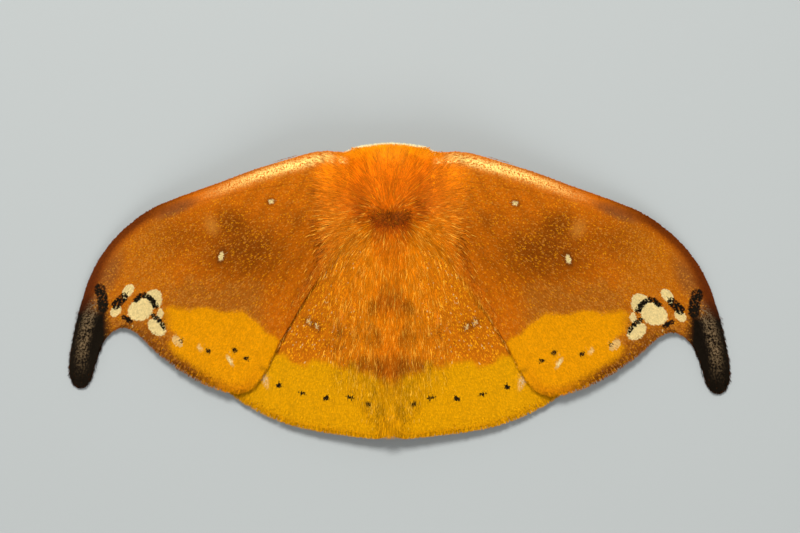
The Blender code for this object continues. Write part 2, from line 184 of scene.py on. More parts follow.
def sail_height(x, y):
    """The forewing's height before its dips and rolls: high at the shoulder, low at the hook."""
    outward = np.maximum(0, 1 - x / REACH) ** 1.05
    backward = 1 - 0.4 * np.maximum(0, (7 - y) / 13) ** 1.2
    return HOOK_HEIGHT + ROOT_RISE * outward * backward


def hind_swell(x, y):
    """How far the hindwing bulges up beside the abdomen."""
    return 0.25 * ease(6.0, 3.0, x) * ease(-6.0, -1.0, y)


class Wing:
    """A wing seen flat: a place runs along its rim and r runs from 0 at the root to 1 at the rim."""

    def __init__(self, rim, bends, root, veins, drop, tint_of):
        self.rim = smooth_line(rim, RIM_STEPS)
        self.rim_index = np.linspace(0, len(rim) - 1, len(self.rim))
        self.last = len(rim) - 1
        self.bend_index = [bend[0] for bend in bends]
        self.bends = np.array([bend[1] for bend in bends])
        self.root = np.array(root)
        self.veins = veins
        self.drop = drop
        self.tint_of = tint_of

    def flat(self, place, r):
        """x and y of places on the wing."""
        spots = []
        for k in (0, 1):
            end = np.interp(place, self.rim_index, self.rim[:, k])
            bend = np.interp(place, self.bend_index, self.bends[:, k])
            root = self.root[0, k] + (self.root[1, k] - self.root[0, k]) * place / self.last
            spots.append(root * (1 - r) ** 2 + bend * 2 * r * (1 - r) + end * r ** 2)
        if self.drop:
            spots[0] = np.maximum(spots[0], abdomen_half_width(spots[1]) * 0.75)
        return spots[0], spots[1]

    def vein_height(self, place, r):
        """How high the veins stand at places on the wing, as a share of VEIN_RISE."""
        x, y = self.flat(place, r)
        beside_x, beside_y = self.flat(np.minimum(place + 0.05, self.last), r)
        stride = np.hypot(beside_x - x, beside_y - y) / 0.05 + 0.02
        rise = np.zeros_like(x)
        for vein, start in self.veins.items():
            away = (place - vein) * stride / VEIN_HALF_WIDTH
            rise = np.maximum(rise, np.exp(-away ** 2) * np.clip((r - start) / 0.15, 0, 1))
        return rise * (1.1 - 0.6 * r)

    def surface(self, place, r):
        """Places on the membrane's upper face, as points."""
        x, y = self.flat(place, r)
        z = sail_height(x, y) - self.drop - MEMBRANE_SINK + VEIN_RISE * self.vein_height(place, r)
        share = place / self.last
        if not self.drop:
            front = np.maximum(r, 1 - 20 * share) ** 4
            z -= COSTA_ROLL * front * np.clip((0.27 - share) / 0.12, 0, 1)
            z -= ROOT_DIP * ease(2.5, 0.9, x)
            z -= 0.3 * np.maximum(ease(2.0, -3.0, y), ease(13.5, 18.5, x)) + 0.2 * ease(0.7, 0.98, share)
            z -= 0.25 * ease(0.7, 0.98, share) * ease(-3.0, 1.0, y)
            z -= 0.15 * ease(0.85, 1.0, share) * ease(0.5, -1.5, y)
        else:
            z += hind_swell(x, y)
        z = np.maximum(z, MEMBRANE_THICK + 0.03)
        return np.stack([x, y, z], -1)


def abdomen_half_width(y):
    """How far out from the midline the abdomen's skin reaches."""
    stations = (-4.0, -3.2, -1.0, 1.5, 4.0, 6.2, 7.6, 8.5)
    return np.interp(-y, stations, (1.1, 1.2, 1.2, 1.02, 0.76, 0.5, 0.3, 0.1))


def to_side(points, side):
    """Points of the mean wing, moved to the left or right side of this moth."""
    sign, stretch, lean = SIDES[side]
    out = np.maximum(points[..., 0] - STRETCH_FROM, 0)
    moved = points.copy()
    moved[..., 0] = sign * (points[..., 0] + out * (stretch - 1))
    moved[..., 1] = points[..., 1] + out * lean
    return moved


def rgb(red, green, blue):
    """A colour as it looks, each part from 0 to 255, as the linear amounts that a shader takes."""
    shown = np.array((red, green, blue)) / 255
    return np.where(shown <= 0.04045, shown / 12.92, ((shown + 0.055) / 1.055) ** 2.4)


def paint(tint, *layers):
    """Lays colours over a tint in turn, each by its own amount, from 0 to 1 at every place."""
    for colour, amount in layers:
        tint = tint + (colour - tint) * np.clip(amount, 0, 1)[:, None]
    return tint


def cloud(x, y, size, seed):
    """Soft blotches from 0 to 1, about the given size across."""
    cells = 64
    lattice = np.random.default_rng(seed).random((cells, cells))
    u, v = x / size + 20.3, y / size + 20.7
    i, j = np.floor(u).astype(int), np.floor(v).astype(int)
    fu, fv = ease(0, 1, u - i), ease(0, 1, v - j)
    i, j, next_i, next_j = i % cells, j % cells, (i + 1) % cells, (j + 1) % cells
    low = lattice[i, j] * (1 - fu) + lattice[next_i, j] * fu
    high = lattice[i, next_j] * (1 - fu) + lattice[next_i, next_j] * fu
    return low * (1 - fv) + high * fv


def from_line(points, x, y):
    """How far each place is from a line through the points."""
    line = smooth_line(points, 6)
    best = np.full(np.shape(x), 1e9)
    for (ax, ay), (bx, by) in zip(line, line[1:]):
        long = (bx - ax) ** 2 + (by - ay) ** 2
        t = np.clip(((x - ax) * (bx - ax) + (y - ay) * (by - ay)) / long, 0, 1)
        best = np.minimum(best, np.hypot(x - ax - t * (bx - ax), y - ay - t * (by - ay)))
    return best


def spot(x, y, at, half_long, half_wide, turn=0.0, soft=0.25):
    """1 inside an oval patch and 0 outside it. turn is in degrees, anticlockwise."""
    c, s = math.cos(math.radians(turn)), math.sin(math.radians(turn))
    along = ((x - at[0]) * c + (y - at[1]) * s) / half_long
    across = ((y - at[1]) * c - (x - at[0]) * s) / half_wide
    return ease(1 + soft, 1 - soft, np.hypot(along, across))


def ragged_dot(x, y, draw, at, half_long, half_wide, turn, seed):
    """How much ink an oval dot with a ragged edge has at each place."""
    mark = spot(x, y, at, half_long, half_wide, turn, 0.7)
    return ease(0.4, 0.65, mark * (0.45 + 0.6 * draw + 0.5 * cloud(x, y, 0.16, seed)))


TAWNY = rgb(176, 90, 4)
SHOULDER_ORANGE = rgb(255, 140, 4)
DEEP_BROWN = rgb(102, 46, 1)
OUTER_TAN = rgb(158, 86, 8)
POSTMEDIAL_BROWN = rgb(148, 82, 16)
WING_YELLOW = rgb(204, 134, 0)
EDGE_BROWN = rgb(88, 42, 6)
RED_STREAK = rgb(168, 80, 4)
# Cream scaling along the front margin, lightened as a painted sheen where the rolled edge catches the light
COSTA_CREAM_SHEEN = rgb(255, 224, 128)
COSTA_ORANGE = rgb(196, 96, 4)
RUST = rgb(80, 30, 4)
HOOK_DARK = rgb(10, 6, 4)
HOOK_DUST = rgb(112, 92, 66)
INK = rgb(14, 10, 6)
CREAM = rgb(206, 184, 126)
LILAC_BROWN = rgb(96, 58, 32)
MAUVE = rgb(186, 124, 44)
# Golden flecks: partly golden scales and partly painted glints, where single scales catch the light
GOLD_FLECK_AND_GLINT = rgb(226, 150, 14)
# Cream blotches: place, half length, half width, turn in degrees, strength
CREAM_BLOTCHES = (
    ((16.2, 0.0), 0.5, 0.3, -48, 1.0), ((17.0, -1.18), 0.42, 0.27, -42, 0.95),
    ((15.42, -1.09), 0.82, 0.64, -25, 1.0), ((14.6, -0.2), 0.5, 0.3, -12, 0.95),
    ((14.3, -0.5), 0.22, 0.5, 8, 0.95), ((14.42, -2.15), 0.62, 0.44, 42, 1.0),
    ((14.2, -1.35), 0.2, 0.34, 10, 0.9), ((13.15, -3.0), 0.42, 0.26, 48, 0.55),
)
# Black strokes round them: the line, half its width
INK_STROKES = (
    (((15.7, -0.52), (15.42, -0.27), (15.05, -0.26), (14.7, -0.52), (14.47, -0.92)), 0.16),
    (((14.62, -1.45), (14.25, -1.75), (13.95, -2.2)), 0.14),
    (((17.0, -0.85), (16.7, -0.58), (16.45, -0.35)), 0.26),
    (((18.0, 0.1), (17.86, -0.39), (17.8, -0.95)), 0.34),
    (((16.5, -1.55), (16.1, -1.8)), 0.15),
)
WHITE_DISCS = (((7.17, 5.4), 0.16, 0.12, 0), ((10.3, 2.13), 0.27, 0.15, 110))
FIELD_DOTS = (((12.9, -2.97), 0.17), ((11.2, -3.54), 0.21), ((9.56, -3.45), 0.2), ((8.83, -3.96), 0.19))


def forewing_tint(x, y, draw):
    """The upper side's colour at places of the flat wing. draw is one random number for each scale."""
    wobble = cloud(x, y, 0.7, 13) - 0.5
    broad = cloud(x, y, 2.2, 12)
    # The ground: tawny, orange at the shoulder, with dark clouds and streaks in the middle
    dark = np.exp(-(((x - 8.9) / 3.6) ** 2 + ((y - 2.4) / 2.2) ** 2) ** 1.3)
    dark = np.maximum(dark, 0.7 * np.exp(-(((x - 12.5) / 2.4) ** 2 + ((y - 3.4) / 1.6) ** 2)))
    streaks = np.sin((x * 0.93 + y * 0.62) * 5.1 + 2.5 * wobble) * ease(3.0, 5.0, x) * ease(12.0, 8.5, x)
    after = ease(7.0, 8.5, x) * ease(14.5, 12.8, x) * ease(1.1, 0.1, y + wobble)
    red_line = from_line(((3.67, 3.1), (4.5, 1.6), (5.1, 0.1), (6.2, -1.6)), x, y)
    tint = paint(
        np.tile(TAWNY, (len(x), 1)),
        (OUTER_TAN, ease(12.0, 14.5, x) * 0.75),
        (SHOULDER_ORANGE, ease(5.2, 2.4, x) * ease(4.5, 7.2, y)),
        (DEEP_BROWN, dark * (0.72 + 0.45 * (broad - 0.5))),
        (DEEP_BROWN, 0.22 * np.maximum(streaks, 0) * ease(-1.5, 0.5, y)),
        (POSTMEDIAL_BROWN, after * 0.85),
        (DEEP_BROWN, 0.65 * spot(x, y, (9.65, 4.2), 0.95, 0.7, 30, 0.7)),
        (DEEP_BROWN, 0.35 * spot(x, y, (5.55, 4.4), 0.7, 0.55, 0, 0.7)),
        (MAUVE, 0.45 * spot(x, y, (10.9, 3.95), 0.5, 0.35, 60, 0.9)),
        (RED_STREAK, 0.4 * ease(0.45, 0.12, red_line + 0.2 * wobble)),
    )
    # The golden field at the rear, its front edge and where it meets the rusty outer margin
    field_x = (6.6, 7.07, 8.85, 9.1, 11.5, 13.5, 14.4)
    front_edge = np.interp(x, field_x, (-3.1, -2.58, -1.35, -1.2, -1.0, -0.95, -1.4))
    outer_edge = np.interp(y, (-5.5, -4.4, -3.2, -2.0, -1.0), (11.4, 12.7, 13.6, 13.75, 13.9))
    field = ease(0.2, -0.16, y - front_edge + 0.3 * wobble) * ease(0.35, -0.35, x - outer_edge + wobble)
    rear_edge = from_line(FORE_RIM[17:26], x, y)
    termen = (1 - field) * ease(10.8, 12.4, x) * ease(-1.6, -2.6, y) * ease(1.6, 0.8, rear_edge)
    tint = paint(
        tint,
        (WING_YELLOW, field),
        (TAWNY, 0.55 * ease(0.9, 0.15, rear_edge) * ease(7.5, 9.5, x)),
        (EDGE_BROWN, 0.95 * ease(1.05, 0.2, rear_edge) * ease(9.6, 12.2, x)),
        (POSTMEDIAL_BROWN, 0.7 * ease(13.3, 14.3, x - 0.4 * wobble) * ease(-0.4, -1.6, y)),
        (EDGE_BROWN, 0.45 * termen),
    )
    # The front margin: an orange line, then cream scaling lightened by a painted sheen along the rolled
    # edge, then rust and black towards the hook
    costa = from_line(((1.9, 7.9), (3.56, 8.38), *FORE_RIM[:10]), x, y)
    # The cream band is partly pale scales and partly a painted sheen
    cream_sheen_band = np.exp(-((costa - 0.42) / 0.27) ** 2) * ease(2.2, 3.2, x) * ease(12.6, 6.0, x)
    tint = paint(
        tint,
        (COSTA_ORANGE, ease(1.1, 0.5, costa) * ease(14, 10, x) * 0.8),
        (COSTA_CREAM_SHEEN, cream_sheen_band * ease(0.05, 0.6, draw)),
        (LILAC_BROWN, 0.75 * spot(x, y, (13.2, 4.95), 1.3, 0.33, -20, 0.6)),
        (COSTA_ORANGE, 0.6 * ease(10.5, 16.0, x) * ease(0.85, 0.25, costa)),
        (RUST, 0.35 * ease(0.2, 0.05, costa) * ease(5.0, 9.0, x)),
        (RUST, 0.9 * ease(0.8, 0.25, costa) * ease(11.5, 15.5, x)),
        (RUST, 0.8 * ease(1.1, 0.5, costa) * ease(2.8, 0.4, y) * ease(16.0, 17.5, x)),
    )
    # The hook: near black, dusted with grey tan along its middle
    hook_line = from_line(((18.0, -0.2), (18.7, -1.6), (19.1, -3.2), (19.35, -5.6)), x, y)
    hook = ease(0.2, -1.5, y + 0.5 * wobble) * ease(17.15, 17.9, x + 0.3 * wobble)
    dust = ease(0.6, 0.05, hook_line) * ease(-5.4, -3.0, y) * ease(0.2, -1.2, y)
    tint = paint(
        tint,
        (HOOK_DARK, hook),
        (HOOK_DUST, dust * ease(0.45, 0.7, draw)),
        (LILAC_BROWN, 0.55 * spot(x, y, (17.3, 1.0), 1.3, 0.45, 115, 0.7)),
    )
    # Cream blotches at the base of the hook, set off with black
    unmarked = tint.copy()
    rough = 0.35 * (draw - 0.5)
    for at, long, wide, turn, strength in CREAM_BLOTCHES:
        blotch = spot(x, y, at, long, wide, turn, 0.12)
        tint = paint(tint, (CREAM, strength * ease(0.25, 0.6, blotch + rough)))
    for line, half in INK_STROKES:
        stroke = ease(half * 1.3, half * 0.7, from_line(line, x, y))
        ink = ease(0.3, 0.6, stroke + 0.6 * rough)
        tint = paint(tint, (INK, ink * np.where((draw * 5.17) % 1 < 0.12, 0.35, 1.0)))
    # Small marks: white discs, then black dots and pale dashes along the field
    for at, long, wide, turn in WHITE_DISCS:
        tint = paint(
            tint,
            (EDGE_BROWN, 0.6 * spot(x, y, at, long * 1.9, wide * 1.9, turn)),
            (CREAM, 0.95 * spot(x, y, at, long, wide, turn)),
        )
    for at, size in FIELD_DOTS:
        tint = paint(tint, (INK, ragged_dot(x, y, draw, at, size, size * 0.7, 40, seed=19)))
    tint = paint(
        tint,
        (INK, 0.3 * spot(x, y, (7.84, -4.5), 0.2, 0.14, 0, 0.6)),
        (CREAM, 0.9 * spot(x, y, (9.87, -4.08), 0.34, 0.1, 60, 0.5)),
        (CREAM, 0.6 * spot(x, y, (11.75, -3.35), 0.2, 0.1, 70, 0.6)),
    )
    # Single pale scales strewn over the brown, thick after the middle and few on the gold; the golden ones
    # are partly golden scales and partly painted glints
    sprinkle = cloud(x, y, 0.35, 31)
    open_brown = (1 - field) * (1 - hook) * ease(0.5, 1.0, costa) * (np.abs(tint - unmarked).sum(1) < 0.03)
    loose = (0.07 + 0.16 * after + 0.12 * ease(12.5, 15.0, x) + 0.05 * broad) * open_brown
    return paint(
        tint,
        (MAUVE, 0.42 * (draw < loose * (0.5 + sprinkle))),
        (GOLD_FLECK_AND_GLINT, 0.35 * (draw > 1 - 0.1 * open_brown * (0.4 + 1.2 * broad))),
    )


def membrane_columns(wing):
    """Places of the membrane's lines: even ones, and closer ones across each vein."""
    columns = list(np.linspace(0, wing.last, MEMBRANE_LINES))
    for vein in wing.veins:
        columns += [vein + step for step in (-0.09, -0.045, 0.0, 0.045, 0.09)]
    return np.array(sorted(column for column in columns if 0 <= column <= wing.last))


def new_node(finish, kind, **values):
    """Adds a node to a finish. Its inputs are named with _ in place of spaces."""
    node = finish.node_tree.nodes.new("ShaderNode" + kind)
    for name, value in values.items():
        node.inputs[name.replace("_", " ")].default_value = value
    return node


def attribute_finish(name, roughness, gloss_level, mottling):
    """A finish that takes its colour from the mesh's own tint, broken up by fine mottling."""
    finish, shader = new_finish(name)
    join = finish.node_tree.links.new
    tint = new_node(finish, "Attribute")
    tint.attribute_name = "tint"
    place = new_node(finish, "TexCoord")
    noise = new_node(finish, "TexNoise", Scale=MOTTLING_SCALE, Detail=3.0)
    join(place.outputs["Object"], noise.inputs["Vector"])
    limits = {"From_Min": 0.3, "From_Max": 0.7, "To_Min": 1 - mottling, "To_Max": 1 + mottling}
    spread = new_node(finish, "MapRange", **limits)
    join(noise.outputs["Fac"], spread.inputs["Value"])
    scaled = new_node(finish, "VectorMath")
    scaled.operation = "SCALE"
    join(tint.outputs["Color"], scaled.inputs[0])
    join(spread.outputs["Result"], scaled.inputs["Scale"])
    join(scaled.outputs["Vector"], shader.inputs["Base Color"])
    gloss = new_node(finish, "MapRange", To_Min=roughness - 0.08, To_Max=roughness + 0.08)
    join(noise.outputs["Fac"], gloss.inputs["Value"])
    join(gloss.outputs["Result"], shader.inputs["Roughness"])
    shader.inputs["Specular IOR Level"].default_value = gloss_level
    shader.inputs["Specular Tint"].default_value = WARM_GLOSS
    return finish


def set_tint(mesh, tints):
    """Stores one colour for each vertex."""
    layer = mesh.color_attributes.new(name="tint", type="FLOAT_COLOR", domain="POINT")
    full = np.concatenate([tints, np.ones((len(tints), 1))], 1)
    layer.data.foreach_set("color", full.astype(np.float32).ravel())


def membrane(name, wing, side, rings):
    """A wing's membrane as a thin closed sheet with raised veins."""
    columns = membrane_columns(wing)
    sheet = bmesh.new()
    bmesh.ops.create_grid(sheet, x_segments=len(columns) - 1, y_segments=rings, size=0.5)
    sheet.verts.ensure_lookup_table()
    place = np.array([columns[round((vert.co.x + 0.5) * (len(columns) - 1))] for vert in sheet.verts])
    r = np.array([vert.co.y + 0.5 for vert in sheet.verts]) * MEMBRANE_REACH
    points = wing.surface(place, r)
    seen = to_side(points, side)
    for vert, point in zip(sheet.verts, seen):
        vert.co = ((point[0] + MIDLINE_X) * MM, point[1] * MM, point[2] * MM)
    if SIDES[side][0] > 0:
        bmesh.ops.reverse_faces(sheet, faces=sheet.faces)
    piece = smooth_object(name, sheet, membrane_finish)
    set_tint(piece.data, wing.tint_of(points[:, 0], points[:, 1], np.full(len(points), 0.5)))
    if piece.data.polygons[0].normal.z < 0:
        piece.data.flip_normals()
    wall = piece.modifiers.new("wall", "SOLIDIFY")
    wall.thickness = MEMBRANE_THICK * MM
    wall.offset = -1.0
    return piece


forewing = Wing(FORE_RIM, FORE_BENDS, FORE_ROOT, FORE_VEINS, 0.0, forewing_tint)
membrane_finish = attribute_finish("wing_membrane", 0.6, 0.04, 0.1)
for side in SIDES:
    piece = membrane("forewing_membrane_" + side, forewing, side, rings=40)
    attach(piece, "root")
    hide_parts("forewing_" + side)

# The forewings' scales. Both sides of the membrane are tiled with small flat scales that overlap like
# shingles and point out to the rim, each of one colour: the pattern is nothing but these. A fringe of
# longer scales stands out from the rear and outer margins.
SCALE_LENGTH = 0.19
SCALE_WIDTH = 0.078
ROW_STEP = 0.098
SCALE_STEP = 0.052
UNDER_LENGTH = 0.36
UNDER_WIDTH = 0.15
UNDER_ROW_STEP = 0.24
UNDER_SCALE_STEP = 0.13
FRINGE_WIDTH = 0.032
FRINGE_BEYOND = 0.16  # how far the longest scales of the fringe stand out beyond the rim
FRINGE_ROOM = 0.32  # how far from the rim the tiled scales stop where it has a fringe
UNDER_BUFF = rgb(226, 168, 74)
WING_MAP_FROM = (-1.0, -10.5)
WING_MAP_SIZE = 22.0
SPOKES = 30  # lines from the root to the rim on which a wing is measured
OFBAKE_PATCH = 0.003


def strew(wing, row_step, scale_step, seed):
    """Even, slightly shaken places over a wing, as place along the rim and r."""
    draw = np.random.default_rng(seed)
    places, rs = [], []
    table = np.linspace(0, wing.last, 900)
    spokes = np.linspace(0, wing.last, SPOKES)
    lengths = []
    for place in spokes:
        x, y = wing.flat(np.full(60, place), np.linspace(0, 1, 60))
        lengths.append(np.hypot(np.diff(x), np.diff(y)).sum())
    rows = int(max(lengths) / row_step)
    for row in range(rows):
        r = (row + 0.5) / rows
        x, y = wing.flat(table, np.full_like(table, r))
        along = np.concatenate([[0], np.cumsum(np.hypot(np.diff(x), np.diff(y)))])
        count = max(2, int(along[-1] / scale_step))
        at = (np.arange(count) + draw.random(count) * 0.7) / count * along[-1]
        place = np.interp(at, along, table)
        # Where a spoke is short its rows lie closer, so some of its scales are left out
        keep = draw.random(count) < np.interp(place, spokes, lengths) / max(lengths)
        places.append(place[keep])
        rs.append(r + draw.uniform(-0.5, 0.5, keep.sum()) / rows)
    return np.concatenate(places), np.clip(np.concatenate(rs), 0.01, 0.985)


def frame_at(wing, place, r, turn):
    """Point, the way the scales point, and the upward normal at places of a wing."""
    here = wing.surface(place, r)
    further = wing.surface(place, np.minimum(r + 0.01, 1.0))
    nearer = wing.surface(place, np.maximum(r - 0.01, 0.0))
    beside = wing.surface(np.minimum(place + 0.06, wing.last), r)
    before = wing.surface(np.maximum(place - 0.06, 0), r)
    along = further - nearer
    along /= np.linalg.norm(along, axis=1)[:, None] + 1e-9
    normal = np.cross(beside - before, along)
    flat = np.linalg.norm(normal, axis=1) < 1e-6
    normal[flat] = (0, 0, 1)
    normal /= np.linalg.norm(normal, axis=1)[:, None]
    normal[normal[:, 2] < 0] *= -1
    across = np.cross(along, normal)
    along = along * np.cos(turn)[:, None] + across * np.sin(turn)[:, None]
    return here, along, normal


def scale_points(here, along, normal, length, width, lift):
    """Closed scales that widen from the root to a blunt tip of two corners, with a keel below."""
    across = np.cross(along, normal) * (width / 2)[:, None]
    reach = along * length[:, None]
    rise = normal * lift[:, None]
    keel = here + reach * 0.5 + rise * 0.4 - normal * 0.02
    return np.stack([here, here + reach + across + rise, here + reach - across + rise, keel], 1)


SCALE_FACES = ((0, 1, 2), (1, 0, 3), (2, 1, 3), (0, 2, 3))
SCALE_PATCH = ((0.5, 0.0), (1.0, 1.0), (0.0, 1.0), (0.5, 0.5))


def joined_pieces(name, points, faces, tints, places, patch, finish, flip=False):
    """One mesh of many small closed pieces. points is (pieces, corners, 3) in mm from the midline,
    places is each one's root on the unwrap, and patch its corners' places there from 0 to 1."""
    count, corners, _ = points.shape
    points[..., 2] = np.maximum(points[..., 2], FLOOR_GAP)
    faces = [tuple(reversed(face)) for face in faces] if flip else list(faces)
    loops = np.concatenate([np.array(face) for face in faces])
    starts = np.concatenate([[0], np.cumsum([len(face) for face in faces])[:-1]])
    mesh = bpy.data.meshes.new(name)
    mesh.vertices.add(count * corners)
    mesh.vertices.foreach_set("co", ((points + (MIDLINE_X, 0, 0)) * MM).astype(np.float32).ravel())
    mesh.loops.add(count * len(loops))
    turns = np.arange(count)[:, None]
    mesh.loops.foreach_set("vertex_index", (turns * corners + loops).astype(np.int32).ravel())
    mesh.polygons.add(count * len(faces))
    mesh.polygons.foreach_set("loop_start", (turns * len(loops) + starts).astype(np.int32).ravel())
    unwrap = mesh.uv_layers.new(name="OFBake")
    corner_places = places[:, None, :] + (np.array(patch)[loops] - 0.5)[None] * OFBAKE_PATCH
    unwrap.data.foreach_set("uv", corner_places.astype(np.float32).ravel())
    mesh.update(calc_edges=True)
    mesh.validate()
    set_tint(mesh, tints.reshape(-1, 3) if tints.ndim == 3 else np.repeat(tints, corners, axis=0))
    mesh.shade_flat()
    mesh.materials.append(finish)
    return place_in_scene(name, mesh)


def wing_unwrap(points):
    """The wing's own flat shape as the map on which its scales have their places."""
    return (points[:, :2] - WING_MAP_FROM) / WING_MAP_SIZE


def glint(draw, tints, amount):
    """Each scale a little lighter or darker than its neighbours."""
    return tints * (1 + amount * (draw - 0.5))[:, None]


def room_to_rim(wing, place, here):
    """How far a place on the wing is from the rim point that its line runs to."""
    rim_x, rim_y = wing.flat(place, np.ones_like(place))
    return np.hypot(rim_x - here[:, 0], rim_y - here[:, 1])


def wing_piece(name, side, here, points, tints):
    """One side's piece of scales, of which here says where each has its root."""
    return joined_pieces(
        name, to_side(points, side), SCALE_FACES, tints, wing_unwrap(here), SCALE_PATCH, scale_finish,
        flip=SIDES[side][0] < 0,
    )


def upper_scales(name, wing, side, seed, first, last):
    """The upper side's scales between two of the rim's points."""
    place, r = strew(wing, ROW_STEP, SCALE_STEP, seed)
    draw = np.random.default_rng(seed + 1)
    # The tiled scales stop short of the rim where the fringe takes over
    room = room_to_rim(wing, place, wing.surface(place, r))
    fringe_room = FRINGE_ROOM * ease(*((3.0, 5.0) if wing.drop else (11.5, 17.0)), place)
    inside = (room > fringe_room * draw.uniform(0.7, 1.1, len(place))) & (place >= first) & (place < last)
    place, r = place[inside], r[inside]
    count = len(place)
    here, along, normal = frame_at(wing, place, r, draw.normal(0, 0.13, count))
    length = SCALE_LENGTH * draw.uniform(0.85, 1.15, count)
    length = np.minimum(length, room_to_rim(wing, place, here) + 0.03)
    width = SCALE_WIDTH * draw.uniform(0.85, 1.2, count)
    points = scale_points(here, along, normal, length, width, draw.uniform(0.012, 0.05, count))
    tints = glint(draw.random(count), wing.tint_of(here[:, 0], here[:, 1], draw.random(count)), 0.34)
    return wing_piece(name, side, here, points, tints)


def under_scales(name, wing, side, seed):
    """The underside's scales, larger and paler, hung from the membrane's lower face."""
    place, r = strew(wing, UNDER_ROW_STEP, UNDER_SCALE_STEP, seed)
    inside = (place > 0.15) & (place < wing.last - 0.1)
    place, r = place[inside], r[inside]
    draw = np.random.default_rng(seed + 1)
    count = len(place)
    here, along, normal = frame_at(wing, place, r, draw.normal(0, 0.13, count))
    below = here - normal * (MEMBRANE_THICK + 0.005)
    size = draw.uniform(0.85, 1.15, count)
    length = np.minimum(UNDER_LENGTH * size, room_to_rim(wing, place, here) * 0.9)
    lift = draw.uniform(0.01, 0.03, count)
    points = scale_points(below, along, -normal, length, UNDER_WIDTH * size, lift)
    tints = wing.tint_of(here[:, 0], here[:, 1], draw.random(count))
    tints = paint(tints, (UNDER_BUFF, 0.6 * ease(17.6, 16.0, here[:, 0])))
    return wing_piece(name, side, here, points, glint(draw.random(count), tints, 0.35))


def fringe(name, wing, side, seed, first, last, length, step):
    """Long hair-like scales that stand out beyond the rim between two of its points."""
    draw = np.random.default_rng(seed)
    rim = wing.rim[(wing.rim_index >= first) & (wing.rim_index <= last)]
    count = int(np.hypot(*np.diff(rim, axis=0).T).sum() / step)
    place = np.sort(draw.uniform(first, last, count))
    start = draw.uniform(0.93, 0.975, count)
    here, along, normal = frame_at(wing, place, start, draw.normal(0, 0.1, count))
    room = room_to_rim(wing, place, here)
    near_hook = np.interp(here[:, 0], (13.0, 17.0), (1.0, 0.3))
    stand_out = FRINGE_BEYOND * draw.uniform(0.1, 1.0, count) * near_hook
    reach = np.minimum(length * draw.uniform(0.7, 1.1, count), room + stand_out)
    here = here - normal * draw.uniform(0.0, 0.08, count)[:, None]
    width = np.full(count, FRINGE_WIDTH)
    points = scale_points(here, along, normal, reach, width, draw.uniform(-0.04, 0.05, count))
    tints = wing.tint_of(here[:, 0], here[:, 1], draw.random(count))
    tints = paint(tints, (EDGE_BROWN, 0.55 * draw.random(count) ** 2))
    return wing_piece(name, side, here, points, glint(draw.random(count), tints, 0.7))


scale_finish = attribute_finish("wing_scales", 0.55, 0.04, 0.05)
for side in SIDES:
    for piece in (
        upper_scales("forewing_front_scales_" + side, forewing, side, seed=101, first=0, last=14),
        upper_scales("forewing_rear_scales_" + side, forewing, side, seed=103, first=14, last=27),
        under_scales("forewing_under_" + side, forewing, side, seed=111),
        fringe("forewing_fringe_" + side, forewing, side, 121, first=8, last=26, length=0.8, step=0.006),
    ):
        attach(piece, "root")

# The hindwings: thin veined sheets like the forewings, scaled on both sides and fringed at the rear. They
# lie under the forewings and show only behind them, as a golden apron, and beside the abdomen, where
# long hair covers them.
HIND_RIM = (
    (5.6, 3.2), (7.6, 2.0), (9.3, 0.3), (10.5, -1.7), (11.0, -3.5), (10.8, -4.9), (10.2, -5.85),
    (9.55, -6.4), (8.6, -6.98), (7.4, -7.55), (6.1, -8.0), (4.7, -8.3), (3.3, -8.5), (1.9, -8.66),
    (0.9, -8.74), (0.25, -8.6),
)
HIND_BENDS = (
    (0, (3.6, 4.35)), (2, (5.6, 2.9)), (4, (6.9, 1.3)), (6, (6.3, 0.2)), (8, (5.2, -0.6)),
    (10, (3.9, -1.6)), (12, (2.9, -2.4)), (14, (2.2, -3.2)), (15, (1.9, -3.3)),
)
HIND_VEINS = {1: 0.0, 3: 0.0, 5: 0.4, 7: 0.4, 8: 0.4, 10: 0.0, 12: 0.0, 14: 0.0}
HIND_DOTS = ((6.8, -5.58), (5.38, -6.03), (3.88, -6.3), (2.45, -6.24), (1.35, -6.6))
HIND_ROOT = ((1.2, 4.75), (0.9, 3.6))
HIND_DROP = 0.94
HIND_BROWN = rgb(190, 104, 6)
HIND_YELLOW = rgb(200, 140, 0)
HIND_EDGE = rgb(184, 114, 0)
SCUFF = rgb(214, 214, 196)


def hindwing_tint(x, y, draw):
    """The hindwing's upper side: orange brown at the base, gold behind, a row of black dots."""
    wobble = cloud(x, y, 0.6, 43) - 0.5
    broad = cloud(x, y, 1.8, 42)
    edge = np.interp(x, (0, 1.2, 2.4, 5.5, 6.6, 8.0), (-4.86, -4.56, -4.15, -4.2, -3.9, -3.4))
    gold = ease(0.3, -0.25, y - edge + 0.7 * wobble)
    tint = paint(
        np.tile(HIND_BROWN, (len(x), 1)),
        (DEEP_BROWN, 0.3 * broad),
        (HIND_YELLOW, gold),
        (HIND_EDGE, 0.8 * ease(0.55, 0.1, from_line(HIND_RIM[4:], x, y))),
    )
    for at in ((4.45, -1.95), (4.95, -1.7)):
        tint = paint(
            tint,
            (DEEP_BROWN, 0.6 * spot(x, y, at, 0.4, 0.3, 40, 0.6)),
            (CREAM, 0.8 * spot(x, y, at, 0.18, 0.08, 60, 0.5)),
        )
    for at in HIND_DOTS:
        tint = paint(tint, (INK, ragged_dot(x, y, draw, at, 0.24, 0.12, 10, seed=49)))
    return paint(
        tint,
        (SCUFF, 0.5 * spot(x, y, (7.8, -5.0), 0.6, 0.18, 70, 0.7) * draw),
        # golden flecks on the brown, partly golden scales and partly painted glints
        (GOLD_FLECK_AND_GLINT, 0.7 * (draw < (1 - gold) * (0.1 + 0.12 * broad))),
        (CREAM, 0.5 * (draw > 1 - 0.02 * (1 - gold))),
    )


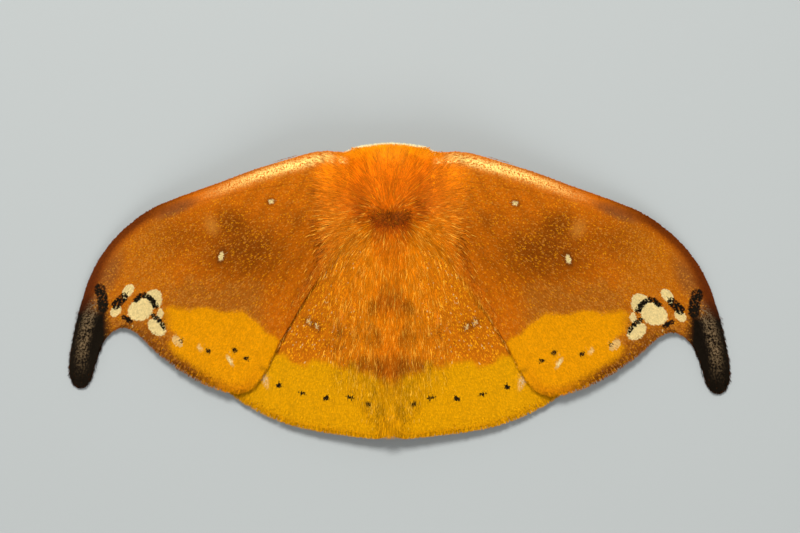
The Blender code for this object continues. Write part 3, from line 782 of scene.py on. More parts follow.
hindwing = Wing(HIND_RIM, HIND_BENDS, HIND_ROOT, HIND_VEINS, HIND_DROP, hindwing_tint)
for side in SIDES:
    piece = membrane("hindwing_membrane_" + side, hindwing, side, rings=34)
    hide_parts("hindwing_" + side)
    for piece in (
        piece,
        upper_scales("hindwing_scales_" + side, hindwing, side, seed=201, first=0, last=16),
        under_scales("hindwing_under_" + side, hindwing, side, seed=211),
        fringe("hindwing_fringe_" + side, hindwing, side, 221, first=4, last=15, length=0.9, step=0.005),
    ):
        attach(piece, "root")

# The body's skin: thorax, abdomen, head, palps and legs are one jointed shell of horn under the hair.
# Here it is rounded solids fused into one, tinted like the hair so that no gap shows.
THORAX_AT = (0.0, 5.75, 3.05)
THORAX_RADII = (1.4, 1.95, 1.15)
HEAD_AT = (0.0, 7.85, 2.05)
HEAD_RADII = (0.86, 0.72, 0.78)
# Abdomen from the waist back: y, half width, half height, height of the centre
ABDOMEN = (
    (4.4, 0.8, 0.75, 2.4), (4.0, 1.0, 0.88, 2.32), (3.2, 1.13, 0.98, 2.28), (1.0, 1.13, 1.02, 2.28),
    (-1.5, 0.96, 0.92, 2.2), (-4.0, 0.7, 0.68, 2.13), (-6.2, 0.44, 0.4, 1.98), (-7.6, 0.26, 0.2, 1.74),
    (-8.3, 0.08, 0.07, 1.58),
)
RINGS_PER_SECTION = 4
ABDOMEN_SIDES = 28
PALP = ((0.3, 7.95, 1.42), (0.36, 8.3, 1.18), (0.39, 8.58, 1.2), (0.4, 8.8, 1.4))
PALP_RADII = (0.17, 0.18, 0.13, 0.05)
# Legs: hip on the thorax's underside, knee, ankle, heel, the joints of the foot, claw
LEGS = {
    "fore": (
        (0.85, 6.5, 2.2), (2.1, 7.2, 1.5), (2.4, 7.6, 0.4), (2.65, 7.75, 0.2), (3.0, 7.88, 0.16),
        (3.42, 8.02, 0.12),
    ),
    "mid": (
        (0.95, 5.5, 2.1), (2.7, 5.5, 1.7), (3.3, 5.35, 0.45), (3.6, 5.25, 0.2), (4.1, 5.08, 0.16),
        (4.72, 4.86, 0.12),
    ),
    "hind": (
        (0.8, 4.75, 2.1), (2.4, 2.9, 1.15), (2.95, 1.9, 0.4), (3.1, 1.6, 0.2), (3.3, 1.0, 0.16),
        (3.52, 0.2, 0.12),
    ),
}
LEG_RADII = (0.24, 0.19, 0.16, 0.13, 0.11, 0.07)
LEG_SIDES = 10
SKIN_VOXEL = 0.07
SKIN_SMOOTHING = 4
# The skin is made darker than the hair: painted shade in the gaps between the tufts
SKIN_SHADE = 0.9


def limb(shape, centres, radii, sides):
    """Adds a closed limb to the shape: a capped ring, extruded from each centre to the next."""
    ring = bmesh.ops.create_circle(shape, cap_ends=True, segments=sides, radius=1.0)["verts"]
    end = ring[0].link_faces[0]
    angle = shape.verts.layers.float.get("angle") or shape.verts.layers.float.new("angle")
    for k, vert in enumerate(end.verts):
        vert[angle] = math.tau * k / sides
    for i, centre in enumerate(centres):
        if i:
            grown = bmesh.ops.extrude_face_region(shape, geom=[end])["geom"]
            end = next(item for item in grown if isinstance(item, bmesh.types.BMFace))
        ahead = Vector(centres[min(i + 1, len(centres) - 1)])
        behind = Vector(centres[max(i - 1, 0)])
        turn = (ahead - behind).to_track_quat("Z", "Y")
        half = radii[i] if isinstance(radii[i], tuple) else (radii[i], radii[i])
        for vert in end.verts:
            corner = Vector((math.cos(vert[angle]) * half[0], math.sin(vert[angle]) * half[1], 0))
            vert.co = Vector(centre) + turn @ corner


def rounded(shape, at, radii):
    """Adds an egg shape with the given centre and half sizes."""
    verts = bmesh.ops.create_icosphere(shape, subdivisions=4, radius=1.0)["verts"]
    bmesh.ops.scale(shape, verts=verts, vec=radii)
    bmesh.ops.translate(shape, verts=verts, vec=at)


def to_place(shape):
    """Moves a shape that was modelled in mm from the midline to its place in the frame."""
    bmesh.ops.translate(shape, verts=shape.verts, vec=(MIDLINE_X, 0, 0))
    bmesh.ops.scale(shape, verts=shape.verts, vec=(MM, MM, MM))


# The coat's colour along the body, from the tail's end to the front of the head
BODY_STATIONS = (
    -8.7, -6.4, -5.4, -4.7, -3.2, -1.6, -0.4, 0.9, 2.4, 3.5, 4.2, 4.7, 5.3, 6.4, 7.4, 8.2, 8.9,
)
BODY_COLOURS = np.array((
    rgb(206, 142, 0), rgb(204, 142, 0), rgb(198, 134, 0), rgb(172, 86, 2), rgb(196, 104, 2),
    rgb(200, 110, 2), rgb(176, 88, 2), rgb(202, 110, 2), rgb(202, 106, 2), rgb(192, 94, 2),
    rgb(166, 68, 2), rgb(188, 88, 2), rgb(198, 94, 1), rgb(204, 98, 1), rgb(222, 112, 1),
    rgb(234, 136, 1), rgb(238, 152, 2),
))
FLANK_GOLD = rgb(206, 116, 2)
BELLY_BUFF = rgb(224, 172, 92)


def body_tint(x, y, z, draw):
    """The body's colour, by how far back and out a place is, and paler underneath."""
    tint = np.stack([np.interp(y, BODY_STATIONS, BODY_COLOURS[:, k]) for k in range(3)], -1)
    flank = ease(0.7, 1.3, np.abs(x)) * ease(4.8, 3.8, y) * ease(-7.5, -5.0, y)
    dusk = 0.7 * spot(x, y, (0.0, 4.4), 0.8, 0.2, 0, 0.9) + 0.5 * spot(x, y, (0.0, -0.3), 0.4, 0.5, 0, 0.9)
    for at in ((0.93, -2.37), (0.8, -4.1)):
        dusk = dusk + 0.5 * spot(np.abs(x), y, at, 0.3, 0.45, 0, 0.9)
    return paint(
        tint,
        (FLANK_GOLD, 0.8 * flank),
        (DEEP_BROWN, 0.65 * dusk * (0.4 + 1.2 * draw)),
        # golden flecks in the hair, partly golden hairs and partly painted glints
        (GOLD_FLECK_AND_GLINT, 0.5 * (draw > 0.93) * ease(0, 1, y + 4)),
        (BELLY_BUFF, 0.8 * ease(1.9, 1.1, z)),
    )


skin_shape = bmesh.new()
rounded(skin_shape, THORAX_AT, THORAX_RADII)
rounded(skin_shape, HEAD_AT, HEAD_RADII)
abdomen_line = smooth_line([(y, wide, high, z) for y, wide, high, z in ABDOMEN], RINGS_PER_SECTION)
abdomen_sizes = [(s[1], s[2]) for s in abdomen_line]
limb(skin_shape, [(0.0, s[0], s[3]) for s in abdomen_line], abdomen_sizes, ABDOMEN_SIDES)
for sign, _, _ in SIDES.values():
    palp_line = [(sign * x, y, z) for x, y, z in smooth_line(PALP, 3)]
    limb(skin_shape, palp_line, [float(r) for r in smooth_line([(r,) for r in PALP_RADII], 3)[:, 0]], 12)
    for points in LEGS.values():
        limb(skin_shape, [(sign * x, y, z) for x, y, z in points], LEG_RADII, LEG_SIDES)
skin_mesh = bpy.data.meshes.new("body_skin")
bmesh.ops.recalc_face_normals(skin_shape, faces=skin_shape.faces)
skin_shape.to_mesh(skin_mesh)
skin_shape.free()
skin = place_in_scene("body_skin", skin_mesh)
fuse = skin.modifiers.new("fuse", "REMESH")
fuse.mode = "VOXEL"
fuse.voxel_size = SKIN_VOXEL
fused = bpy.data.meshes.new_from_object(skin.evaluated_get(bpy.context.evaluated_depsgraph_get()))
skin.modifiers.clear()
skin_shape = bmesh.new()
skin_shape.from_mesh(fused)
for _ in range(SKIN_SMOOTHING):
    bmesh.ops.smooth_vert(
        skin_shape, verts=skin_shape.verts, factor=0.5, use_axis_x=True, use_axis_y=True, use_axis_z=True
    )
spots = np.array([vert.co[:] for vert in skin_shape.verts])
to_place(skin_shape)
skin_shape.to_mesh(fused)
skin_shape.free()
# darker than the hair, as painted shade in the gaps of the coat
set_tint(fused, body_tint(*spots.T, np.zeros(len(spots))) * SKIN_SHADE)
fused.shade_smooth()
fused.materials.clear()
fused.materials.append(attribute_finish("body_horn", 0.6, 0.1, 0.2))
skin.data = fused
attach(skin, "root")
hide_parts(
    "head", "thorax", "abdomen", "palp_left", "palp_right", "leg_fore_left", "leg_fore_right",
    "leg_mid_left", "leg_mid_right", "leg_hind_left", "leg_hind_right",
)

# The coat on the back: long soft hair that fans out from a whorl at the waist, over the wing roots and
# along the body both ways. It fills the hollows beside the body, so that no step shows there. Each tuft
# is a tapering lock of a few hairs that rises out of the skin and then lies on its neighbours.
THORAX_TUFTS = 16000
SHOULDER_TUFTS = 22000  # places tried on each side, of which many are left out, as on the flanks
MARGIN_TUFTS = 4200
FLANK_TUFTS = 26000
ABDOMEN_TUFTS = 15000
LONGEST_TUFT = 1.6
BODY_AXIS_HEIGHT = 2.4
BODY_MAP_FROM = -9.5
BODY_MAP_LENGTH = 19.5
WHORL_Y = 4.55
# How far forward the coat reaches: distances from the midline, then the y of its edge there
FRONT_EDGE = ((0, 1, 2, 2.75, 3.3, 4.5, 5.6, 7.5), (8.92, 8.86, 8.68, 8.46, 8.3, 8.2, 7.92, 7.36))
UP = np.array((0.0, 0.0, 1.0))
STRAND_FACES = ((0, 1, 2), (0, 2, 3), (0, 3, 1), (1, 4, 2), (2, 4, 3), (3, 4, 1))
STRAND_PATCH = ((0.5, 0.0), (0.0, 0.4), (1.0, 0.4), (0.5, 0.4), (0.5, 1.0))
# Painted shade at each tuft's root, deep in the coat, and a painted highlight at its tip
STRAND_SHADE = np.array((0.86, 1.0, 1.0, 1.0, 1.08))


def unit(vectors):
    """The same ways, each with a length of 1."""
    return vectors / (np.linalg.norm(vectors, axis=1)[:, None] + 1e-12)


margin_x, margin_y = forewing.flat(np.full(40, float(forewing.last)), np.linspace(0, 1, 40))


def margin_side(x, y):
    """How far in front of the forewing's inner margin a place is; less than 0 behind it."""
    return (y - np.interp(x, margin_x, margin_y)) * 0.66


def abdomen_section(y):
    """The abdomen's half width, half height and the height of its centre."""
    return (np.interp(-y, -abdomen_line[:, 0], abdomen_line[:, k]) for k in (1, 2, 3))


def pelt_height(x, y):
    """The height of the coat's surface, which runs smoothly from the body over the wings."""
    x = np.abs(x)
    slope = np.where(y < 5.9, 2.65, 2.4)
    thorax = 4.5 * np.exp(-0.33 * ((x / 1.7) ** 2 + ((y - 5.9) / slope) ** 2) ** 1.3)
    wide, high, middle = abdomen_section(y)
    abdomen = middle + 1.15 * high * (2 * np.exp(-0.4 * (x / (wide + 0.08)) ** 2) - 1)
    abdomen -= 0.5 * np.maximum(0, x - wide) + 2 * np.maximum(0, y - 4.4) + 0.4 * np.maximum(0, -7.6 - y)
    margin = margin_side(x, y)
    near = ease(1.0, 0.1, margin)
    fore = sail_height(x, y) - 0.3 * ease(2.0, -3.0, y) - 0.9 * ease(2.5, 0.9, x) * ease(6.5, 8, y)
    fore -= near * (0.2 + 0.25 * ease(-3.0, 1.0, y) + 0.15 * ease(0.5, -1.5, y))
    hind = sail_height(x, y) - 0.95 + hind_swell(x, y)
    wing = fore + (hind - fore) * ease(0.05, -0.45, margin)
    height = np.log(np.exp(4 * thorax) + np.exp(4 * abdomen) + np.exp(4 * wing)) / 4
    return height - 0.5 * np.maximum(0, y - 7.75 + 0.03 * x ** 2) ** 2 * ease(3.6, 2.6, x)


def on_pelt(x, y, above):
    """Points at the given distance above the coat's surface."""
    return np.stack([x, y, pelt_height(x, y) + above], -1)


SHINING_GOLD = rgb(255, 196, 70)
# Dusky patches beside the abdomen: place, half length, half width
DUSK = (
    ((0.95, -2.4), 0.55, 0.5), ((2.7, -2.2), 0.7, 0.5), ((0.85, -4.1), 0.9, 0.5),
    ((3.6, -3.0), 0.8, 0.5), ((1.9, -4.0), 0.9, 0.35), ((0.95, -0.6), 0.4, 0.5),
)


def pelt_tint(x, y, draw):
    """The coat's colour: the body's along the middle, running into the colours of the wings."""
    x = np.abs(x)
    behind = ease(0.3, -0.3, margin_side(x, y))
    # Painted light: the forewing's colours are lightened on the hair near the body, to make up for the
    # shade among the tufts
    brighter = (1.05 + 0.2 * ease(5.0, 3.0, x))[:, None]
    half = np.interp(y, (-8.7, -7, -4, 1, 4, 5), (0.2, 0.3, 0.7, 1.1, 1.5, 2.6))
    dusk = np.zeros(len(x))
    for at, long, wide in DUSK:
        dusk = np.maximum(dusk, spot(x, y, at, long, wide, 0, 0.9))
    shining = (draw * 7.31) % 1 > 0.9
    tint = paint(
        forewing_tint(x, y, draw) * brighter,
        (hindwing_tint(x, y, draw) * 0.95, behind),
        (FLANK_GOLD, 0.75 * ease(4.6, 2.2, x) * ease(-4.4, -3.2, y)),
        (body_tint(x, y, np.full(len(x), 4.0), draw), ease(1.5, 0.6, x / half)),
        (DEEP_BROWN, 0.5 * dusk * (0.4 + 1.2 * cloud(x, y, 0.3, 78))),
        (SHINING_GOLD, 0.55 * shining * ease(6.5, 4.0, y) * ease(-1.5, 1.0, x)),
    )
    return tint * (0.8 + 0.4 * cloud(x * 2.2 + 5, y * 0.8, 0.5, 77))[:, None]


def strand_points(spine, up, width):
    """Tufts that taper both ways from a three-cornered section at the second point of their spine."""
    lie = unit(spine[:, 2] - spine[:, 0])
    across = unit(np.cross(lie, up))
    normal = np.cross(across, lie)
    half = across * (width / 2)[:, None]
    ridge = normal * (width * 0.28)[:, None]
    root, middle, tip = spine[:, 0], spine[:, 1], spine[:, 2]
    return np.stack([root, middle - half, middle + half, middle + ridge, tip], 1)


def body_unwrap(points):
    """The body unrolled: round its long axis, and along it."""
    round_about = np.arctan2(points[:, 0], points[:, 2] - BODY_AXIS_HEIGHT) / math.tau + 0.5
    return np.stack([round_about * 0.99, (points[:, 1] - BODY_MAP_FROM) / BODY_MAP_LENGTH], -1)


def coat_piece(name, spine, up, width, tints, seed, finish, on_wing=False):
    """Tufts as one mesh, each with its own random tone, with painted shade at its root and a painted
    highlight at its tip.
    """
    points = strand_points(spine, up, width)
    shade = np.random.default_rng(seed + 1000).uniform(0.62, 1.3, len(spine))
    full = tints[:, None, :] * STRAND_SHADE[None, :, None] * shade[:, None, None]
    places = wing_unwrap(np.abs(spine[:, 0])) if on_wing else body_unwrap(spine[:, 0])
    return joined_pieces(name, points, STRAND_FACES, np.clip(full, 0, 1), places, STRAND_PATCH, finish)


def lay_coat(name, x, y, length, seed, on_wing=False):
    """Tufts with their roots at the given places, laid along the coat's flow."""
    draw = np.random.default_rng(seed)
    count = len(x)
    outward = np.interp(-y, (-7, -5, -2, 6), (1.0, 0.9, 0.35, 0.25))
    forward = np.where(y > WHORL_Y, 1 - 0.5 * ease(0.8, 2.6, np.abs(x)), 1.0)
    turn = np.arctan2((y - WHORL_Y - 0.1) * forward, x * outward)
    turn += 0.5 * (cloud(x + 9, y, 0.4, seed + 1) - 0.5) + draw.normal(0, 0.08, count)
    way = np.stack([np.cos(turn), np.sin(turn)], -1)
    ahead = np.interp(np.abs(x + way[:, 0] * length), *FRONT_EDGE) - 0.35 * draw.random(count) ** 2
    beyond = y + way[:, 1] * length > ahead
    length = np.where(beyond, np.maximum(0.12, (ahead - y) / np.maximum(way[:, 1], 0.05)), length)
    length = np.minimum(length, LONGEST_TUFT)
    bend = draw.normal(0, 0.05, count) * length
    deep = 0.25 + 0.75 * ease(0.2, 0.9, np.hypot(x, y - WHORL_Y))
    spine = []
    for t, sway, high in (
        (0.0, 0.0, -deep * draw.uniform(0.25, 0.5, count)), (0.4, 1.0, np.full(count, -0.03)),
        (1.0, 0.0, draw.uniform(-0.04, 0.06, count)),
    ):
        px = x + way[:, 0] * length * t - way[:, 1] * bend * sway
        py = y + way[:, 1] * length * t + way[:, 0] * bend * sway
        spine.append(on_pelt(px, py, high))
    spine = np.stack(spine, 1)
    tints = pelt_tint(spine[:, 1, 0], spine[:, 1, 1], draw.random(count))
    width = draw.uniform(0.032, 0.056, count)
    return coat_piece(name, spine, UP, width, tints, seed, hair_finish, on_wing)


hair_finish = attribute_finish("body_hair", 0.5, 0.12, 0.08)
draw = np.random.default_rng(301)
x = draw.uniform(-2.3, 2.3, THORAX_TUFTS)
y = draw.uniform(4.0, 8.6, THORAX_TUFTS)
near_whorl = ease(0.2, 1.2, np.hypot(x, y - WHORL_Y))
length = draw.uniform(0.8, 1.5, THORAX_TUFTS) * (0.5 + 0.5 * near_whorl)
piece = lay_coat("thorax_hair", x, y, length, 302)
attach(piece, "root")
for side, (sign, _, _) in SIDES.items():
    draw = np.random.default_rng(311)
    x = draw.uniform(1.8, 5.6, SHOULDER_TUFTS)
    y = draw.uniform(0.0, 8.35, SHOULDER_TUFTS)
    kept = (draw.random(SHOULDER_TUFTS) < ease(5.8, 2.0, x) ** 3) & (margin_side(x, y) > -0.2)
    kept &= y < np.interp(x, *FRONT_EDGE)
    x, y = x[kept], y[kept]
    length = draw.uniform(0.6, 1.1, len(x)) * ease(6.4, 2.5, x) + 0.15
    # A loose fringe of hair all along the inner margin, which hides the step down to the hindwing
    along = draw.uniform(1.6, 6.7, MARGIN_TUFTS)
    beside = np.interp(along, margin_x, margin_y) + draw.uniform(-0.1, 0.7, MARGIN_TUFTS)
    x = np.concatenate([x, along])
    y = np.concatenate([y, beside])
    length = np.concatenate([length, draw.uniform(0.5, 1.0, MARGIN_TUFTS) * ease(9.0, 4.0, along)])
    piece = lay_coat("shoulder_hair_" + side, sign * x, y, length, 312, on_wing=True)
    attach(piece, "root")
    y = draw.uniform(-8.2, 4.3, FLANK_TUFTS)
    x = 0.8 * abdomen_half_width(y) + draw.uniform(0.0, 4.4, FLANK_TUFTS)
    kept = (draw.random(FLANK_TUFTS) < ease(5.6, 1.4, x) ** 3) & (margin_side(x, y) < 0.0)
    kept &= draw.random(FLANK_TUFTS) < ease(-7.4, -3.8, y + 1.6 * np.maximum(0, 2.4 - x)) ** 2
    x, y = x[kept], y[kept]
    length = draw.uniform(0.7, 1.2, len(x)) * ease(6.4, 2.5, x) * ease(-10.5, -1.5, y) + 0.1
    piece = lay_coat("flank_hair_" + side, sign * x, y, length, 314, on_wing=True)
    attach(piece, "root")
draw = np.random.default_rng(321)
y = 4.4 - 12.4 * draw.random(ABDOMEN_TUFTS) ** 0.9
wide, high, middle = abdomen_section(y)
x = draw.uniform(-1, 1, ABDOMEN_TUFTS) * (wide + 0.15)
length = draw.uniform(0.6, 1.1, ABDOMEN_TUFTS) * ease(-9.6, -6.0, y)
piece = lay_coat("abdomen_hair", x, y, np.minimum(length, y + 8.9), 322)
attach(piece, "root")

# The hair on the body's sides and underside, shorter and paler than the coat above, and the brush at the
# tail. It grows out of the skin in tufts of a few hairs each, which lean back and lie on one another.
BREAST_TUFTS = 4000
BELLY_TUFTS = 5000
TAIL_TUFTS = 1200
ROOT_DEPTH = 0.05
draw = np.random.default_rng(331)


def on_egg(at, radii, forward, roll):
    """Places and normals on an egg shape: degrees forward of its middle, and rolled from its top."""
    forward, roll = np.radians(forward), np.radians(roll)
    way = np.stack([np.sin(roll) * np.cos(forward), np.sin(forward), np.cos(roll) * np.cos(forward)], -1)
    return np.array(at) + way * np.array(radii), unit(way / np.array(radii))


def short_coat(name, roots, lie, normal, length, lift, tints, seed, finish=hair_finish):
    """Tufts that lean out of the skin and lie back along it."""
    draw = np.random.default_rng(seed)
    lie = unit(lie - normal * (lie * normal).sum(1)[:, None])
    spine = [
        roots + lie * (length * t)[:, None] + normal * (-ROOT_DEPTH * (1 - t) + lift * t * (2 - t))[:, None]
        for t in (0.0, 0.4, 1.0)
    ]
    width = draw.uniform(0.042, 0.07, len(roots))
    return coat_piece(name, np.stack(spine, 1), normal, width, tints, seed, finish)


count = BREAST_TUFTS
forward = np.degrees(np.arcsin(draw.uniform(-0.95, 0.95, count)))
roll = draw.uniform(70, 165, count) * draw.choice((-1, 1), count)
roots, normal = on_egg(THORAX_AT, THORAX_RADII, forward, roll)
lie = np.stack([0.2 * roots[:, 0], -np.ones(count), np.full(count, -0.3)], -1)
lie += draw.normal(0, 0.15, (count, 3))
tints = body_tint(*roots.T, draw.random(count))
length = draw.uniform(0.5, 0.9, count)
piece = short_coat("breast_hair", roots, lie, normal, length, draw.uniform(0.05, 0.2, count), tints, 332)
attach(piece, "root")
count = BELLY_TUFTS
y = draw.uniform(-7.6, 4.3, count)
roll = np.radians(draw.uniform(60, 178, count) * draw.choice((-1, 1), count))
wide, high, middle = abdomen_section(y)
roots = np.stack([wide * np.sin(roll), y, middle + high * np.cos(roll)], -1)
normal = unit(np.stack([np.sin(roll) / wide, np.zeros(count), np.cos(roll) / high], -1))
lie = np.stack([0.3 * np.sin(roll), -np.ones(count), np.zeros(count)], -1)
lie += draw.normal(0, 0.12, (count, 3))
length = draw.uniform(0.5, 0.9, count) * ease(-9.5, -5.0, y)
tints = body_tint(roots[:, 0], roots[:, 1] - 0.3, roots[:, 2], draw.random(count))
piece = short_coat("belly_hair", roots, lie, normal, length, draw.uniform(0.04, 0.15, count), tints, 334)
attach(piece, "root")
count = TAIL_TUFTS
x = draw.normal(0, 0.24, count)
y = draw.uniform(-8.0, -6.4, count)
roots = np.stack([x, y, 1.62 + 0.2 * (y + 8) + draw.uniform(-0.1, 0.15, count) - 0.3 * np.abs(x)], -1)
droop = draw.uniform(0.05, 0.35, count) + 0.5 * (draw.random(count) > 0.75)
lie = np.stack([x * 0.1 + draw.normal(0, 0.12, count), -np.ones(count), -droop], -1)
length = np.minimum(draw.uniform(0.8, 1.3, count), y + 8.9)
tints = body_tint(roots[:, 0], roots[:, 1] - 0.7, np.full(count, 4.0), draw.random(count))
normal = unit(np.stack([x * 0.5, -droop, np.ones(count)], -1))
piece = short_coat("tail_hair", roots, lie, normal, length, draw.uniform(0.0, 0.1, count), tints, 336)
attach(piece, "root")

# The face: short orange hair that grows all over the head in front of the thorax. It lies forwards on
# the head's top and points down over its front.
FACE_TUFTS = 1500
draw = np.random.default_rng(341)
count = FACE_TUFTS
forward = np.degrees(np.arcsin(draw.uniform(-0.1, 1.0, count)))
roll = draw.uniform(-140, 140, count)
roots, normal = on_egg(HEAD_AT, HEAD_RADII, forward, roll)
front = ease(0.2, 0.8, normal[:, 1])
lie = np.stack([roots[:, 0] * 0.4, 0.8 * (1 - front), -front - 0.1], -1)
lie += draw.normal(0, 0.15, (count, 3))
tints = body_tint(roots[:, 0], roots[:, 1], roots[:, 2] + 2, draw.random(count))
tints = paint(tints, (SHOULDER_ORANGE, front * 0.5))
length = draw.uniform(0.25, 0.5, count)
piece = short_coat("head_hair", roots, lie, normal, length, draw.uniform(0.04, 0.14, count), tints, 342)
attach(piece, "root")

# The parting at the waist: short hair, much of it dark, that spreads from the whorl like a bird's wings
# and covers the skin where the long coat parts. It grows between the long tufts.
PARTING_TUFTS = 1500
PARTING_Y = 4.3
count = PARTING_TUFTS
x = draw.normal(0, 0.5, count)
y = PARTING_Y + 0.2 * np.abs(x) + draw.normal(0, 0.2, count)
turn = np.arctan2(y - 4.35 + draw.normal(0, 0.2, count), x) + draw.normal(0, 0.5, count)
length = draw.uniform(0.2, 0.45, count)
spine = []
for t, high in ((0.0, -0.12), (0.5, 0.03), (1.0, 0.05)):
    spine.append(on_pelt(x + np.cos(turn) * length * t, y + np.sin(turn) * length * t, high))
tints = body_tint(x, y, np.full(count, 4.0), draw.random(count))
from_parting = np.abs(y - PARTING_Y - 0.2 * np.abs(x))
tints = paint(tints, (DEEP_BROWN, 0.9 * (draw.random(count) < 0.55 * ease(0.45, 0.1, from_parting))))
width = draw.uniform(0.025, 0.04, count)
piece = coat_piece("waist_hair", np.stack(spine, 1), UP, width, tints, 346, hair_finish)
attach(piece, "root")

# The pale rim: cream hair along the whole front, from one shoulder to the other. It grows under the
# orange coat there and reaches just beyond it. Its paleness is partly the hair's own cream and partly a
# painted highlight, where the light shines through the hair's edge.
RIM_TUFTS = 1700
# Cream, partly the hair's own colour and partly a painted highlight of light shining through the edge
RIM_CREAM_GLOW = rgb(250, 226, 168)
count = RIM_TUFTS
x = draw.uniform(-2.7, 2.7, count)
tip_y = 9.0 - 0.065 * x ** 2 - 0.25 * draw.random(count) ** 2 - 0.16 * ease(1.9, 2.7, np.abs(x))
root_y = tip_y - draw.uniform(0.5, 0.8, count)
below = draw.uniform(0.1, 0.4, count)
spine = np.stack([
    np.stack([x + lean * 0.06 * x, y, pelt_height(x, y) - below + rise], -1)
    for lean, y, rise in ((0.0, root_y, -0.12), (0.6, (root_y + tip_y) / 2, 0.0), (1.0, tip_y, 0.12))
], 1)
up = np.array((0.0, 0.4, 0.9))
tints = np.tile(RIM_CREAM_GLOW, (count, 1))
width = draw.uniform(0.03, 0.05, count)
piece = coat_piece("front_rim_hair", spine, up, width, tints, 352, hair_finish)
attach(piece, "root")

# The eyes: two large dark balls, each made of thousands of tiny lenses of clear horn, set into the sides
# of the head. The lenses are too fine to model, so the finish draws and embosses them.
EYE_AT = (0.8, 7.95, 1.86)
EYE_RADIUS = 0.59
EYE_BROWN = rgb(58, 26, 12)
FACETS = 17000.0  # cells of the facets' pattern in a metre
FACET_RISE = 0.00001
eye_finish, shader = new_finish("eye")
join = eye_finish.node_tree.links.new
place = new_node(eye_finish, "TexCoord")
facets = new_node(eye_finish, "TexVoronoi", Scale=FACETS, Randomness=0.25)
join(place.outputs["Object"], facets.inputs["Vector"])
facet_tint = new_node(eye_finish, "MapRange", To_Min=1.0, To_Max=0.35)
join(facets.outputs["Distance"], facet_tint.inputs["Value"])
dark = new_node(eye_finish, "VectorMath")
dark.operation = "SCALE"
dark.inputs[0].default_value = tuple(EYE_BROWN)
join(facet_tint.outputs["Result"], dark.inputs["Scale"])
join(dark.outputs["Vector"], shader.inputs["Base Color"])
domes = new_node(eye_finish, "Bump", Strength=0.5, Distance=FACET_RISE)
domes.invert = True
join(facets.outputs["Distance"], domes.inputs["Height"])
join(domes.outputs["Normal"], shader.inputs["Normal"])
shader.inputs["Roughness"].default_value = 0.3
shader.inputs["Specular IOR Level"].default_value = 0.2
shader.inputs["Coat Weight"].default_value = 0.08
for side, (sign, _, _) in SIDES.items():
    ball = bmesh.new()
    bmesh.ops.create_icosphere(ball, subdivisions=5, radius=EYE_RADIUS)
    bmesh.ops.translate(ball, verts=ball.verts, vec=(sign * EYE_AT[0], EYE_AT[1], EYE_AT[2]))
    to_place(ball)
    piece = smooth_object("eye_ball_" + side, ball, eye_finish)
    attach(piece, "root")
    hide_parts("eye_" + side)

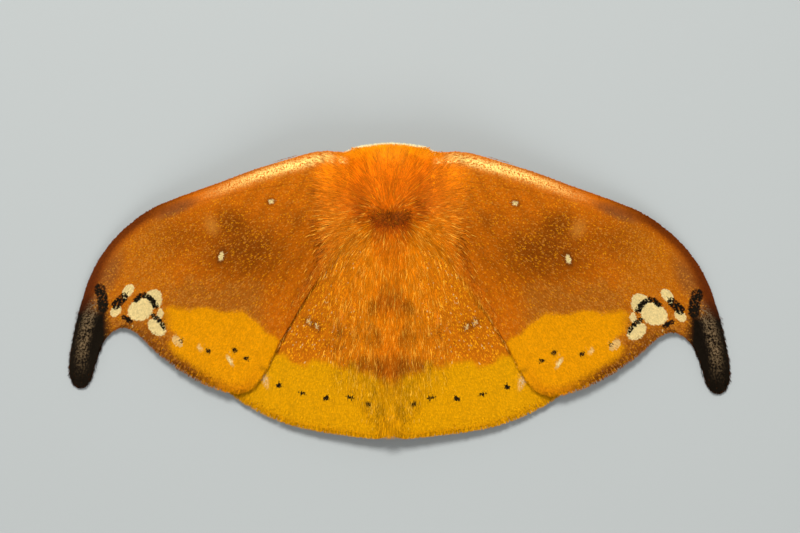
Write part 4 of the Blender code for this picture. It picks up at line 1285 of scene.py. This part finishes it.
# The feelers: cream, jointed shafts of horn with a comb of fine teeth on both sides. They are set on the
# head beside the eyes and lie back under the front edges of the forewings.
ANTENNA = (
    (0.6, 8.2, 2.15), (0.75, 8.3, 2.3), (1.28, 8.2, 2.3), (2.05, 7.95, 2.1), (3.1, 7.55, 1.85),
    (4.3, 6.95, 1.7), (5.6, 6.2, 1.45), (7.0, 5.4, 1.2),
)
ANTENNA_CREAM = rgb(232, 206, 150)
SHAFT_RADIUS = 0.1
SHAFT_SIDES = 10
TOOTH_LENGTH = 0.36
FIRST_TOOTH = 6  # the joints before it are bare
feeler_finish = attribute_finish("feeler", 0.5, 0.2, 0.15)
for side, (sign, _, _) in SIDES.items():
    line = smooth_line([(sign * x, y, z) for x, y, z in ANTENNA], 8)
    joint = np.arange(len(line))
    radii = SHAFT_RADIUS * (1 - 0.55 * joint / len(line)) * (1 + 0.12 * (joint % 2))
    shaft = bmesh.new()
    limb(shaft, [tuple(point) for point in line], [float(radius) for radius in radii], SHAFT_SIDES)
    bmesh.ops.recalc_face_normals(shaft, faces=shaft.faces)
    to_place(shaft)
    piece = smooth_object("antenna_shaft_" + side, shaft, feeler_finish)
    set_tint(piece.data, np.tile(ANTENNA_CREAM, (len(piece.data.vertices), 1)))
    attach(piece, "root")
    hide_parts("antenna_" + side)
    ahead = unit(np.gradient(line, axis=0))
    teeth = joint[FIRST_TOOTH:-1]
    roots = np.concatenate([line[teeth], line[teeth]])
    ahead = np.concatenate([ahead[teeth], ahead[teeth]])
    outward = unit(np.cross(ahead, UP))
    outward[len(teeth):] *= -1
    lie = outward + 0.55 * ahead
    normal = unit(np.cross(lie, ahead))
    normal[normal[:, 2] < 0] *= -1
    length = TOOTH_LENGTH * np.tile(1 - 0.5 * (teeth - FIRST_TOOTH) / len(teeth), 2)
    tints = np.tile(ANTENNA_CREAM, (len(roots), 1))
    lift = np.full(len(roots), 0.02)
    name = "antenna_comb_" + side
    piece = short_coat(name, roots, lie, normal, length, lift, tints, 361, feeler_finish)
    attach(piece, "root")

# The scales of the legs and palps: short tufts that grow all round each limb and lie down along it, buff
# with darker rings at the feet.
LEG_BUFF = rgb(222, 156, 66)
LEG_BROWN = rgb(140, 86, 36)
LEG_TUFTS = 81.6  # a limb has this many tufts for the square root of its number of rings
for side, (sign, _, _) in SIDES.items():
    draw = np.random.default_rng(371)
    parts = []
    for points, radii in ((PALP, PALP_RADII), *((points, LEG_RADII) for points in LEGS.values())):
        line = smooth_line([(sign * x, y, z) for x, y, z in points], 10)
        radius = smooth_line([(r,) for r in radii], 10)[:, 0]
        count = int(LEG_TUFTS * len(line) ** 0.5)
        at = draw.integers(1, len(line) - 1, count)
        ahead = unit(np.gradient(line, axis=0))[at]
        side_way = unit(np.cross(ahead, UP))
        up_way = np.cross(side_way, ahead)
        turn = draw.uniform(0, math.tau, count)
        normal = side_way * np.cos(turn)[:, None] + up_way * np.sin(turn)[:, None]
        roots = line[at] + normal * (radius[at] * 0.85)[:, None]
        share = at / len(line)
        long = 0.5 if points is PALP else 1.0
        parts.append((roots, ahead, normal, long * np.interp(share, (0, 0.6, 1), (0.4, 0.3, 0.12)), share))
    roots, lie, normal, length, share = (np.concatenate(column) for column in zip(*parts))
    ringed = ease(0.7, 0.8, share) * (np.sin(share * 60) > 0.2)
    tints = paint(np.tile(LEG_BUFF, (len(roots), 1)), (LEG_BROWN, 0.8 * ringed))
    lift = np.full(len(roots), 0.03)
    piece = short_coat("leg_scales_" + side, roots, lie, normal, length, lift, tints, 372)
    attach(piece, "root")
